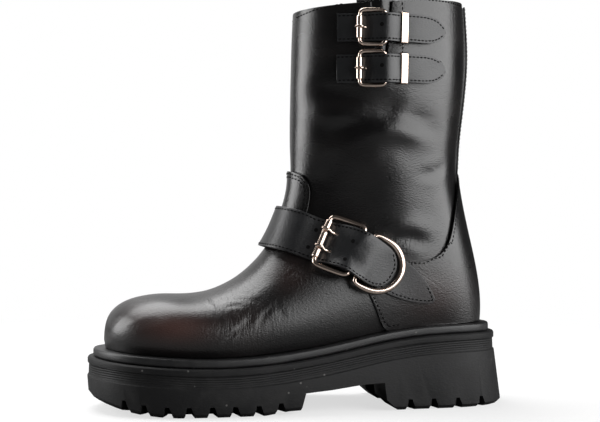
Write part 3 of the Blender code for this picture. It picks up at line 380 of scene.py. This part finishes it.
# folds and creases, as lines seen from the side: depth and width in mm, a ridge has a negative depth
folds = {
    "lateral": [
        {"line": [(139, 217), (127, 211), (109, 208), (92, 209), (78, 214)], "depth": 2.2, "width": 7.0},
        {"line": [(143, 203), (130, 205), (116, 202), (104, 203)], "depth": -1.5, "width": 6.0},
        {"line": [(130, 186), (118, 195), (103, 199), (84, 200), (68, 197), (58, 191)], "depth": 1.7, "width": 5.5},
        {"line": [(101, 190), (86, 191), (68, 185)], "depth": -1.2, "width": 7.0},
        {"line": [(50, 166), (58, 161), (68, 160)], "depth": 0.9, "width": 3.5},
        {"line": [(64, 113), (80, 117), (96, 116)], "depth": 0.9, "width": 4.0},
        {"line": [(58, 122), (74, 126), (88, 124)], "depth": -0.7, "width": 5.0},
        {"line": [(137, 150), (130, 163), (129, 178)], "depth": 0.7, "width": 6.0},
        {"line": [(204, 51), (197.5, 55.6), (190.8, 62.3), (182.3, 75.5)], "depth": 0.42, "width": 1.5},
        {"line": [(199.6, 49), (190.8, 58.9), (186, 65.6)], "depth": 0.35, "width": 1.4},
        {"line": [(196.2, 75.5), (189, 75.4), (182.7, 74.2)], "depth": 0.32, "width": 1.3},
        {"line": [(203, 70.9), (197, 72.4), (190.8, 72.2)], "depth": 0.28, "width": 1.3},
        {"line": [(190.8, 80.8), (185, 76.6), (180.6, 70.9)], "depth": 0.35, "width": 1.4},
        {"line": [(200.9, 77.5), (198, 72.4), (197.5, 67.5)], "depth": 0.28, "width": 1.3},
        {"line": [(207, 47.7), (199.6, 54.3)], "depth": 0.35, "width": 1.4},
        {"line": [(173.9, 70.9), (179, 65.5), (182, 58.9)], "depth": 0.32, "width": 1.5},
        {"line": [(170.5, 75.5), (168.6, 69.6), (165.8, 63.6)], "depth": 0.24, "width": 1.6},
        {"line": [(161, 90.7), (155.8, 94.4), (150.2, 97.3)], "depth": 0.35, "width": 1.0},
        {"line": [(159, 88), (153.8, 92.3), (148.2, 96)], "depth": 0.4, "width": 1.0},
        {"line": [(212, 76), (204, 66), (196, 60)], "depth": 0.3, "width": 1.6},
    ],
    "medial": [
        {"line": [(140, 210), (122, 204), (100, 203), (80, 208)], "depth": 1.8, "width": 7.0},
        {"line": [(138, 192), (116, 188), (94, 190), (70, 186)], "depth": 1.5, "width": 6.5},
        {"line": [(130, 199), (112, 196), (92, 197)], "depth": -1.1, "width": 6.0},
        {"line": [(66, 118), (84, 121), (100, 118)], "depth": 0.9, "width": 4.5},
        {"line": [(184, 80), (193, 68), (200, 54)], "depth": 0.6, "width": 1.6},
        {"line": [(178, 80), (186, 68), (192, 54)], "depth": 0.55, "width": 1.5},
        {"line": [(190, 76), (198, 72), (205, 66)], "depth": 0.45, "width": 1.4},
        {"line": [(168, 80), (175, 66), (180, 54)], "depth": 0.45, "width": 1.7},
    ],
}
sides = {"lateral": 1.0, "medial": -1.0}
# a fold fades where the hide turns away from its side and at its ends, and has a low lip beside it
foldShape = {"turned": 0.05, "fade": 0.35, "past": -4.0, "inset": 0.07, "ends": 1.5, "lipAway": 1.9, "lipHigh": 0.3}


def lineDistance(points, line):
    best = np.full(len(points), 1e9)
    along = np.zeros(len(points))
    line = np.array(line, float)
    lengths = np.linalg.norm(np.diff(line, axis=0), axis=1)
    total, done = lengths.sum(), 0.0
    for a, b, length in zip(line[:-1], line[1:], lengths):
        t = np.clip(((points - a) @ (b - a)) / length ** 2, 0, 1)
        away = np.linalg.norm(points - (a + t[:, None] * (b - a)), axis=1)
        nearer = away < best
        best[nearer] = away[nearer]
        along[nearer] = (done + t[nearer] * length) / total
        done += length
    return best, along


def foldRelief(sizes, normal):
    move = np.zeros(len(sizes))
    for side, sign in sides.items():
        faces = np.clip((normal[:, 1] * sign + foldShape["turned"]) / foldShape["fade"], 0, 1)
        faces *= sizes[:, 1] * sign > foldShape["past"]
        for fold in folds[side]:
            away, along = lineDistance(sizes[:, (0, 2)], fold["line"])
            part = np.clip(along * (1 - 2 * foldShape["inset"]) + foldShape["inset"], 0, 1)
            taper = np.clip(np.sin(np.pi * part) * foldShape["ends"], 0, 1)
            near = np.exp(-((away / fold["width"]) ** 2))
            lip = np.exp(-(((away - fold["width"] * foldShape["lipAway"]) / fold["width"]) ** 2))
            move -= fold["depth"] * taper * faces * (near - foldShape["lipHigh"] * lip)
    return move


# the heel cup is evened out: its radius round an upright axis is fitted by a smooth sum,
# and each piece follows; mm, with open and gridTurns in degrees, round and aside in radians, start and least in m
heelCup = {"axisX": 62.0, "axisY": 0.0, "turns": 4, "powers": 3, "middle": 90.0, "half": 50.0, "foot": 57.0,
           "open": (70.0, 96.0), "high": (108.0, 132.0), "read": (44.0, 140.0), "round": 2.1, "aside": 0.002,
           "start": 0.15, "least": 0.015, "facing": 0.2, "sure": 0.4, "enough": 40, "layers": (15, 85), "side": 0.5,
           "settle": 0.75, "most": 3.0, "wild": 5.0, "gridTurns": (-109, 110, 5), "gridTop": 137.0, "gridStep": 3.0}


def heelRadius(sizes, tree):
    turn = np.arctan2(sizes[:, 1] - heelCup["axisY"], heelCup["axisX"] - sizes[:, 0])
    radius = np.full(len(sizes), np.nan)
    low, high = heelCup["read"]
    for i in np.flatnonzero((np.abs(turn) < heelCup["round"]) & (sizes[:, 2] < high) & (sizes[:, 2] > low)):
        aim = turn[i] + heelCup["aside"]   # just off the mesh's own edges
        away = Vector((-math.cos(aim), math.sin(aim), 0))
        axis = spot(heelCup["axisX"], heelCup["axisY"], sizes[i, 2])
        hit, normal = tree.ray_cast(axis + away * heelCup["start"], -away)[:2]
        if hit is None or (hit - axis).dot(away) <= heelCup["least"]:
            continue
        if normal.dot(away) > heelCup["facing"]:
            radius[i] = (hit - axis).length / shoe["mm"]
    return turn, radius


def heelTerms(turn, z):
    level = (z - heelCup["middle"]) / heelCup["half"]
    rings = [np.ones_like(turn)]
    rings += [wave(k * turn) for k in range(1, heelCup["turns"] + 1) for wave in (np.cos, np.sin)]
    return np.stack([ring * level ** power for ring in rings for power in range(heelCup["powers"] + 1)], axis=1)


def easeIn(value, low, high):
    share = np.clip((value - low) / (high - low), 0, 1)
    return share * share * (3 - 2 * share)


bm = mergedCopy("upper")
rawUpper = BVHTree.FromBMesh(bm)
bm.free()
turnGrid, levelGrid = np.meshgrid(np.radians(np.arange(*heelCup["gridTurns"])),
                                  np.arange(heelCup["foot"], heelCup["gridTop"], heelCup["gridStep"]))
heelGrid = np.stack([heelCup["axisX"] - np.cos(turnGrid.ravel()), heelCup["axisY"] + np.sin(turnGrid.ravel()),
                     levelGrid.ravel()], axis=1)
turns, radii = heelRadius(heelGrid, rawUpper)
found = ~np.isnan(radii)
heelSum = np.linalg.lstsq(heelTerms(turns[found], heelGrid[found, 2]), radii[found], rcond=None)[0]


def evenHeel(co, normal):
    sizes = shoeSizes(co)
    turn, radius = heelRadius(sizes, rawUpper)
    share = easeIn(-np.degrees(np.abs(turn)), -heelCup["open"][1], -heelCup["open"][0])
    share *= easeIn(-sizes[:, 2], -heelCup["high"][1], -heelCup["high"][0])
    far = np.hypot(sizes[:, 1] - heelCup["axisY"], heelCup["axisX"] - sizes[:, 0])
    offset = far - radius
    known = ~np.isnan(offset) & (share > heelCup["sure"])
    settled = offset.copy()
    if known.sum() > heelCup["enough"]:   # both faces of a piece lie at an even distance from the cup
        levels = [np.percentile(offset[known], part) for part in heelCup["layers"]]
        outward = normal[:, 1] * np.sin(turn) - normal[:, 0] * np.cos(turn)
        for level, faces in zip(levels, (outward < -heelCup["side"], outward > heelCup["side"])):
            settled = np.where((np.abs(offset - level) < heelCup["settle"]) | faces, level, settled)
    fitted = heelTerms(turn, np.maximum(sizes[:, 2], heelCup["foot"])) @ heelSum
    change = np.nan_to_num(fitted + settled - far)
    held = np.clip(change, -heelCup["most"], heelCup["most"])
    change = np.where(np.abs(change) > heelCup["wild"], 0.0, held) * share * shoe["mm"]
    return co + np.stack([-np.cos(turn) * change, np.sin(turn) * change, np.zeros(len(co))], axis=1)


def foldMesh(mesh, lift=0.0):
    co, normal = meshArrays(mesh)
    co = evenHeel(co, normal)
    co += normal * (foldRelief(shoeSizes(co), normal) * shoe["mm"])[:, None]
    if lift:
        middle = co.mean(0)
        outward = np.array(surfaces["upper"].find_nearest(Vector(middle))[1])
        co += outward * lift * shoe["mm"]
    mesh.vertices.foreach_set("co", co.astype(np.float32).ravel())
    mesh.update()


# where the hide is rubbed brown, its colour lifted to paint a soft sheen on the toe, and where it carries fine
# wrinkles: centre x, z and radius x, z in mm, strength
patches = {
    "wearAndSheen": [(239, 58, 22, 9, 0.5), (256, 62, 14, 9, 0.22), (60, 78, 22, 16, 0.16), (160, 92, 14, 12, 0.12),
               (196, 62, 20, 14, 0.06)],
    "creased": [(192, 66, 24, 22, 1.0), (157, 93, 12, 9, 0.9), (72, 118, 26, 9, 0.6), (128, 204, 16, 8, 0.7),
                (70, 180, 22, 14, 0.2), (52, 268, 16, 10, 0.4)],
}


def addPatches(mesh):
    sizes = shoeSizes(meshArrays(mesh)[0])
    for label, places in patches.items():
        value = np.zeros(len(sizes))
        for x, z, wide, tall, strength in places:
            reach = ((sizes[:, 0] - x) / wide) ** 2 + ((sizes[:, 2] - z) / tall) ** 2
            value = np.maximum(value, strength * np.exp(-reach))
        layer = mesh.attributes.new(label, "FLOAT", "POINT")
        layer.data.foreach_set("value", value.astype(np.float32))


# the middle of the boot, in mm: an upright line in the shaft and a level one in the foot
core = {"shaftFrom": 120, "shaftX": 90, "footX": (62, 250), "footZ": 58, "outer": 0.2, "lining": -0.15}


def insideOf(point):
    x, y, z = shoeSizes([point])[0]
    if z > core["shaftFrom"]:
        return spot(core["shaftX"], 0, z)
    return spot(min(max(x, core["footX"][0]), core["footX"][1]), 0, core["footZ"])


def facesOut(face):
    outward = face.calc_center_median() - insideOf(face.calc_center_median())
    return face.normal.dot(outward.normalized())


# the upper: quads of the solid rounded, a finer patch where the vamp bends, then the folds
upperSkin = {"levels": 2, "bevel": 0.0006, "angle": 55.0, "finer": {"x": (148, 222), "below": 108}}
bm = mergedCopy("upper")
for face in bm.faces:
    face.material_index = 1 if facesOut(face) < core["lining"] else 0
upperMesh = finishedMesh("upperSkin", bm, upperSkin["bevel"], upperSkin["angle"], upperSkin["levels"])
bm = bmesh.new()
bm.from_mesh(upperMesh)
backX, frontX = upperSkin["finer"]["x"]
sizes = shoeSizes([v.co for v in bm.verts])
bm.verts.index_update()
bends = {v.index for v in bm.verts
         if backX < sizes[v.index, 0] < frontX and sizes[v.index, 2] < upperSkin["finer"]["below"]}
finer = [e for e in bm.edges if e.verts[0].index in bends and e.verts[1].index in bends
         and any(f.material_index == 0 for f in e.link_faces)]
bmesh.ops.subdivide_edges(bm, edges=finer, cuts=1, use_grid_fill=True, smooth=0.0)
bm.to_mesh(upperMesh)
bm.free()
foldMesh(upperMesh)
addPatches(upperMesh)
addPiece("upperSkin", upperMesh, [blackLeather, liningLeather], "leather", ["upper"])
print("upper", len(upperMesh.polygons))


# leather that lies on the upper, and the straps: rows of stitches in from the edge and their pitch, in mm
hideSewn = {"finish": blackLeather, "slot": "leather"}
ankleSewn = {"finish": strapLeather, "slot": "strap_leather", "rows": (1.9,), "pitch": 3.0}
collarSewn = {"finish": strapLeather, "slot": "strap_leather", "rows": (1.6,), "pitch": 2.9}
overlays = {
    "counterPanel": {"node": "counter", **hideSewn, "rows": (1.6, 3.9), "pitch": 3.1, "bare": (84, 61),
                     "reach": {"below": 60.5, "move": -2.0, "behind": 97}},
    "frontTab": {"node": "front_tab", **hideSewn, "rows": (1.7, 4.0), "pitch": 3.1},
    "backStay": {"node": "back_stay", **hideSewn, "rows": (1.4,), "pitch": 3.0,
                 "reach": {"below": 172, "move": -2.4}},
    "anklePiece": {"node": "ankle_anchor", **ankleSewn, "raise": 0.9},
    "ankleStrap": {"node": "ankle_strap", **ankleSewn, "slots": True, "levels": 1},
    "collarStrapHigh": {"node": "collar_strap_high", **collarSewn, "slots": True},
    "collarStrapLow": {"node": "collar_strap_low", **collarSewn, "slots": True},
    "collarPieceHigh": {"node": "collar_anchor_high", **collarSewn},
    "collarPieceLow": {"node": "collar_anchor_low", **collarSewn},
    "gussetFold": {"node": "gusset", **hideSewn, "rows": (), "pitch": 2.4, "reach": {"above": 268, "move": 3.4}},
}
overlayEdge = {"bevel": 0.00035, "angle": 50.0, "levels": 2}
slotFill = {"widest": 0.012, "deep": 0.0035, "margin": 0.0002}   # m


# the strap closes round its pins, so the slots cut for them are filled
def closeSlots(bm):
    outer = {f for f in bm.faces if facesOut(f) > core["outer"]}
    rims = chains([e for e in bm.edges if sum(f in outer for f in e.link_faces) == 1])
    rims.sort(key=pathLength)
    for rim in rims[:-1]:
        centre = sum(rim, Vector()) / len(rim)
        reach = max((point - centre).length for point in rim)
        if reach > slotFill["widest"]:
            continue
        normal = min(outer, key=lambda f: (f.calc_center_median() - centre).length).normal.copy()
        gone = []
        for v in bm.verts:
            away = v.co - centre
            level = away.dot(normal)
            if abs(level) < slotFill["deep"] and (away - normal * level).length < reach + slotFill["margin"]:
                gone.append(v)
        outer -= {f for v in gone for f in v.link_faces}
        bmesh.ops.delete(bm, geom=gone, context="VERTS")
    bmesh.ops.holes_fill(bm, edges=[e for e in bm.edges if e.is_boundary], sides=0)


# an end of a piece is drawn out so that it still meets its neighbour after rounding, z in mm
def nudgeEnd(bm, move, above=-1.0, below=999.0, behind=999.0):
    for v in bm.verts:
        x, y, z = shoeSizes([v.co])[0]
        if above < z < below and x < behind:
            v.co.z += move * shoe["mm"]


def chains(edges):
    links = {}
    for edge in edges:
        for a, b in (edge.verts, reversed(edge.verts)):
            links.setdefault(a, []).append(b)
    found, used = [], set()
    for start in links:
        if start in used:
            continue
        path, here = [start], start
        used.add(start)
        while True:
            onward = [v for v in links[here] if v not in used]
            if not onward:
                break
            here = onward[0]
            used.add(here)
            path.append(here)
        closed = len(path) > 2 and start in links[here]
        found.append([v.co.copy() for v in path] + ([start.co.copy()] if closed else []))
    return found


def pathLength(path):
    return sum((b - a).length for a, b in zip(path[:-1], path[1:]))


# the row of a seam: the outer faces are inset, and the longest inner loop is the line that is sewn
def seamRow(node, inset):
    bm = mergedCopy(node)
    outer = [f for f in bm.faces if facesOut(f) > core["outer"]]
    made = bmesh.ops.inset_region(bm, faces=outer, thickness=inset * shoe["mm"], use_even_offset=True,
                                  use_boundary=True)
    rim, kept = set(made["faces"]), set(outer)
    line = [e for e in bm.edges if len(e.link_faces) == 2
            and sum(f in rim for f in e.link_faces) == 1 and sum(f in kept for f in e.link_faces) == 1]
    loops = chains(line)
    bm.free()
    return max(loops, key=pathLength) if loops else []


def evenly(path, pitch):
    spots, carried = [], pitch / 2
    for a, b in zip(path[:-1], path[1:]):
        length = (b - a).length
        while carried < length:
            spots.append((a.lerp(b, carried / length), (b - a).normalized()))
            carried += pitch
        carried -= length
    return spots


stitch = {"long": 2.2, "wide": 1.0, "high": 0.55, "lift": 0.1, "from": 12.0, "search": 30.0}   # mm
stitchSize = Matrix.Diagonal([stitch[way] / 2 * shoe["mm"] for way in ("long", "wide", "high")] + [1.0])
threadBm = bmesh.new()


def sewRow(path, surface, pitch, bare=None):
    rowBm = bmesh.new()
    for place, along in evenly(path, pitch * shoe["mm"]):
        x, y, z = shoeSizes([place])[0]
        if bare and x < bare[0] and z < bare[1]:
            continue
        outward = (place - insideOf(place)).normalized()
        hit, normal = surface.ray_cast(place + outward * stitch["from"] * shoe["mm"], -outward,
                                       stitch["search"] * shoe["mm"])[:2]
        if hit is None:
            continue
        along = (along - normal * along.dot(normal)).normalized()
        turned = Matrix((along, normal.cross(along), normal)).transposed().to_4x4()
        seat = Matrix.Translation(hit + normal * stitch["lift"] * shoe["mm"])
        bmesh.ops.create_uvsphere(rowBm, u_segments=6, v_segments=4, radius=1.0,
                                  matrix=seat @ turned @ stitchSize @ Matrix.Rotation(math.pi / 2, 4, "Y"))
    rowMesh = plainMesh("row", rowBm)
    threadBm.from_mesh(rowMesh)
    bpy.data.meshes.remove(rowMesh)


surfaces = {"upper": surfaceOf(upperMesh)}
for name, spec in overlays.items():
    bm = mergedCopy(spec["node"])
    if "reach" in spec:
        nudgeEnd(bm, **spec["reach"])
    if spec.get("slots"):
        closeSlots(bm)
    mesh = finishedMesh(name, bm, **{**overlayEdge, "levels": spec.get("levels", overlayEdge["levels"])})
    foldMesh(mesh, spec.get("raise", 0.0))
    addPatches(mesh)
    addPiece(name, mesh, [spec["finish"]], spec["slot"], [spec["node"]])
    surfaces[spec["node"]] = surfaceOf(mesh)
    for inset in spec["rows"]:
        sewRow(seamRow(spec["node"], inset), surfaces[spec["node"]], spec["pitch"], spec.get("bare"))
    print(name, len(mesh.polygons))


# rows sewn through the upper itself: the collar edge and the panel behind the slit, as lines seen from the side
upperRows = {
    "pitch": 3.0, "steps": 12, "from": 120,
    "lateral": [[(151, 269.5), (141, 272.8), (128, 275.2), (112, 277.6)],
                [(84, 279.2), (66, 279.8), (50, 279.9), (34, 279.6)],
                [(83.5, 279), (83, 262), (83, 244), (84, 228)]],
    "medial": [[(150, 269.5), (141, 272.8), (120, 276.4), (96, 279), (66, 279.8), (34, 279.6)]],
}


def castLine(line, side, surface):
    path = []
    for (xa, za), (xb, zb) in zip(line[:-1], line[1:]):
        for t in np.linspace(0, 1, upperRows["steps"]):
            start = spot(xa + (xb - xa) * t, upperRows["from"] * side, za + (zb - za) * t)
            hit = surface.ray_cast(start, Vector((0, -side, 0)))[0]
            if hit is not None:
                path.append(hit)
    return path


for side, sign in sides.items():
    for line in upperRows[side]:
        sewRow(castLine(line, sign, surfaces["upper"]), surfaces["upper"], upperRows["pitch"])
threadMesh = plainMesh("stitching", threadBm)
addPatches(threadMesh)
addPiece("stitching", threadMesh, [blackThread], "leather")
print("stitching", len(threadMesh.polygons))

# punched holes on the straps and the small nick on the shaft, by their places across and down the camera's frame: dark
# matte discs that paint the shade inside them
holes = {
    "radius": 1.5, "taper": 0.92, "deep": 0.5, "sink": 0.2, "sharp": 40.0,   # mm, degrees
    "places": {"ankle_strap": [(316, 230), (308, 247), (353, 241), (345, 259)],
               "collar_strap_high": [(382, 24)], "collar_strap_low": [(382, 65)]},
    "nick": {"place": (390, 178), "half": (0.4, 0.3, 2.4)},
}
holeBm = bmesh.new()
for node, places in holes["places"].items():
    for place in places:
        hit, normal = surfaces[node].ray_cast(*frameRay(*place))[:2]
        turned = Vector((0, 0, 1)).rotation_difference(normal).to_matrix().to_4x4()
        wide = holes["radius"] * shoe["mm"]
        bmesh.ops.create_cone(holeBm, cap_ends=True, segments=20, radius1=wide, radius2=wide * holes["taper"],
                              depth=holes["deep"] * shoe["mm"],
                              matrix=Matrix.Translation(hit - normal * holes["sink"] * shoe["mm"]) @ turned)
nickSpot = surfaces["upper"].ray_cast(*frameRay(*holes["nick"]["place"]))[0]
nickSize = Matrix.Diagonal([half * shoe["mm"] for half in holes["nick"]["half"]] + [1.0])
bmesh.ops.create_uvsphere(holeBm, u_segments=8, v_segments=6, radius=1.0,
                          matrix=Matrix.Translation(nickSpot) @ nickSize)
holeMesh = plainMesh("paintedHoleShades", holeBm)
addPatches(holeMesh)
addPiece("paintedHoleShades", holeMesh, [paintedHoleShade], "strap_leather", sharp=holes["sharp"])
print("holes", len(holeMesh.polygons))

# metal: the swept solids rounded, with the levels of rounding and the bevel in m for each
metalEdge = {"flat": 40.0, "angle": 40.0}
keeperTurn = 14.0   # degrees, the bars lie back with the curve of the shaft
metals = {
    "ankleBuckle": ("ankle_buckle", 2, 0.0), "ankleRoller": ("ankle_roller", 1, 0.0003),
    "anklePinHigh": ("ankle_prong_high", 2, 0.0), "anklePinLow": ("ankle_prong_low", 2, 0.0),
    "dRing": ("d_ring", 2, 0.0),
    "collarBuckleHigh": ("collar_buckle_high", 2, 0.0), "collarBuckleLow": ("collar_buckle_low", 2, 0.0),
    "collarRollerHigh": ("collar_roller_high", 1, 0.0003), "collarRollerLow": ("collar_roller_low", 1, 0.0003),
    "collarPinHigh": ("collar_prong_high", 2, 0.0), "collarPinLow": ("collar_prong_low", 2, 0.0),
    "keeperHigh": ("collar_keeper_high", 2, 0.0007), "keeperLow": ("collar_keeper_low", 2, 0.0007),
}
pins = {"nodes": ("ankle_prong_high", "ankle_prong_low", "collar_prong_high", "collar_prong_low"),
        "shown": 5.6, "bend": 2.2, "sink": 4.8}   # mm


# a pin shows from its tip to where it goes through the strap
def sinkPin(mesh):
    co = meshArrays(mesh)[0]
    tip = co[co[:, 0].argmax()]
    normal = np.array(surfaces["upper"].find_nearest(Vector(co.mean(0)))[1])
    back = np.linalg.norm(co - tip, axis=1) / shoe["mm"]
    share = easeIn(back, pins["shown"], pins["shown"] + pins["bend"])
    co -= normal * (share * pins["sink"] * shoe["mm"])[:, None]
    mesh.vertices.foreach_set("co", co.astype(np.float32).ravel())
    mesh.update()


for name, (node, levels, bevel) in metals.items():
    mesh = finishedMesh(name, mergedCopy(node, metalEdge["flat"]), bevel, metalEdge["angle"], levels)
    if node in pins["nodes"]:
        sinkPin(mesh)
    if "keeper" in node:
        middle = Vector(meshArrays(mesh)[0].mean(0))
        mesh.transform(Matrix.Translation(middle) @ Matrix.Rotation(math.radians(keeperTurn), 4, "Z")
                       @ Matrix.Translation(-middle))
    addPiece(name, mesh, [roseMetal], "rose_metal", [node], body="ring" if node == "d_ring" else "boot")
print("metal made")

# sole and welt: edges eased, the recessed band carries fine moulded lines
soles = {
    "soleBlock": {"node": "outsole", "finish": soleRubber, "slot": "rubber", "bevel": 0.0004},
    "weltBand": {"node": "welt", "finish": weltRubber, "slot": "rubber", "bevel": 0.0006},
    "insoleBoard": {"node": "insole", "finish": liningLeather, "slot": "lining", "bevel": 0.0005},
}
soleEdge = {"flat": 6.0, "angle": 38.0, "sharp": 20.0, "slices": 24, "near": 9.0, "power": 5}


# how far each point lies below the sole's top edge, in mm
def addDrop(mesh):
    sizes = shoeSizes(meshArrays(mesh)[0])
    slices = np.linspace(sizes[:, 0].min(), sizes[:, 0].max(), soleEdge["slices"])
    tops = [sizes[np.abs(sizes[:, 0] - x) < soleEdge["near"], 2].max() for x in slices]
    edge = np.polyval(np.polyfit(slices, tops, soleEdge["power"]), sizes[:, 0])
    layer = mesh.attributes.new("drop", "FLOAT", "POINT")
    layer.data.foreach_set("value", (edge - sizes[:, 2]).astype(np.float32))


for name, spec in soles.items():
    mesh = finishedMesh(name, mergedCopy(spec["node"], soleEdge["flat"]), spec["bevel"], soleEdge["angle"])
    if spec["finish"] == soleRubber:
        addDrop(mesh)
    if spec["slot"] == "lining":
        addPatches(mesh)
    addPiece(name, mesh, [spec["finish"]], spec["slot"], [spec["node"]], sharp=soleEdge["sharp"])
    print(name, len(mesh.polygons))

# floor and soft boxes, in m and W
studio = {
    "lights": [
        {"name": "toeBox", "place": (1.0, -0.27, 0.32), "size": (0.6, 0.9), "power": 10.0},
        {"name": "heelBox", "place": (-0.84, 0.63, 0.38), "size": (1.5, 0.9), "power": 20.0},
        {"name": "overBox", "place": (0.34, -0.5, 1.25), "size": (1.1, 0.9), "power": 19.0},
        {"name": "backBox", "place": (0.2, -1.3, 0.5), "size": (1.4, 0.9), "power": 2.2},
    ],
    "aim": (0.0, 0.0, 0.12), "floor": 6.0, "below": 0.0003, "shade": (0.2, 0.2, 0.2, 1), "pale": (0.95, 0.95, 0.95, 1),
    "surround": 0.05, "seen": 1.0, "fade": (0.3, 0.75), "glow": 0.66,
}
bm = bmesh.new()
bmesh.ops.create_grid(bm, x_segments=1, y_segments=1, size=studio["floor"] / 2)
bmesh.ops.translate(bm, verts=bm.verts, vec=(0, 0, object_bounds()[0][2] - studio["below"]))
floorMesh = plainMesh("floor", bm)
floor = bpy.data.objects.new("floor", floorMesh)
scene.collection.objects.link(floor)
paleFloor, tree, shader = newMaterial("paleFloor", {"Roughness": 0.8, "Specular IOR Level": 0.1})
floorMesh.materials.append(paleFloor)
# the floor runs out to the white of the surround
glow = nodeIn(tree, "ShaderNodeEmission", {"Color": (1, 1, 1, 1), "Strength": studio["seen"]})
reach = nodeIn(tree, "ShaderNodeVectorMath", {0: tree.nodes.new("ShaderNodeTexCoord").outputs["Object"]},
               operation="LENGTH").outputs["Value"]
seenRay = tree.nodes.new("ShaderNodeLightPath").outputs["Is Camera Ray"]
tree.links.new(mixColour(tree, seenRay, studio["shade"], studio["pale"]), shader.inputs["Base Color"])
paleShare = math2(tree, "MAXIMUM", ramp(tree, reach, *studio["fade"]), studio["glow"])
share = math2(tree, "MULTIPLY", paleShare, seenRay)
runOut = nodeIn(tree, "ShaderNodeMixShader", {0: share, 1: shader.outputs[0], 2: glow.outputs[0]})
tree.links.new(runOut.outputs[0], tree.nodes["Material Output"].inputs["Surface"])
print("floor made")

world = bpy.data.worlds.new("studio")
scene.world = world
world.use_nodes = True
sky = world.node_tree
back = sky.nodes["Background"]
seen = nodeIn(sky, "ShaderNodeBackground", {"Color": (1, 1, 1, 1), "Strength": studio["seen"]})
back.inputs["Color"].default_value = (1, 1, 1, 1)
back.inputs["Strength"].default_value = studio["surround"]
mixed = nodeIn(sky, "ShaderNodeMixShader", {0: sky.nodes.new("ShaderNodeLightPath").outputs["Is Camera Ray"]})
sky.links.new(back.outputs[0], mixed.inputs[1])
sky.links.new(seen.outputs[0], mixed.inputs[2])
sky.links.new(mixed.outputs[0], sky.nodes["World Output"].inputs["Surface"])

for spec in studio["lights"]:
    light = bpy.data.lights.new(spec["name"], "AREA")
    light.shape, light.energy = "RECTANGLE", spec["power"]
    light.size, light.size_y = spec["size"]
    lamp = bpy.data.objects.new(spec["name"], light)
    lamp.location = spec["place"]
    aim = Vector(studio["aim"]) - Vector(spec["place"])
    lamp.rotation_euler = aim.to_track_quat("-Z", "Y").to_euler()
    scene.collection.objects.link(lamp)

scene.view_settings.view_transform = "Standard"
print("light made")
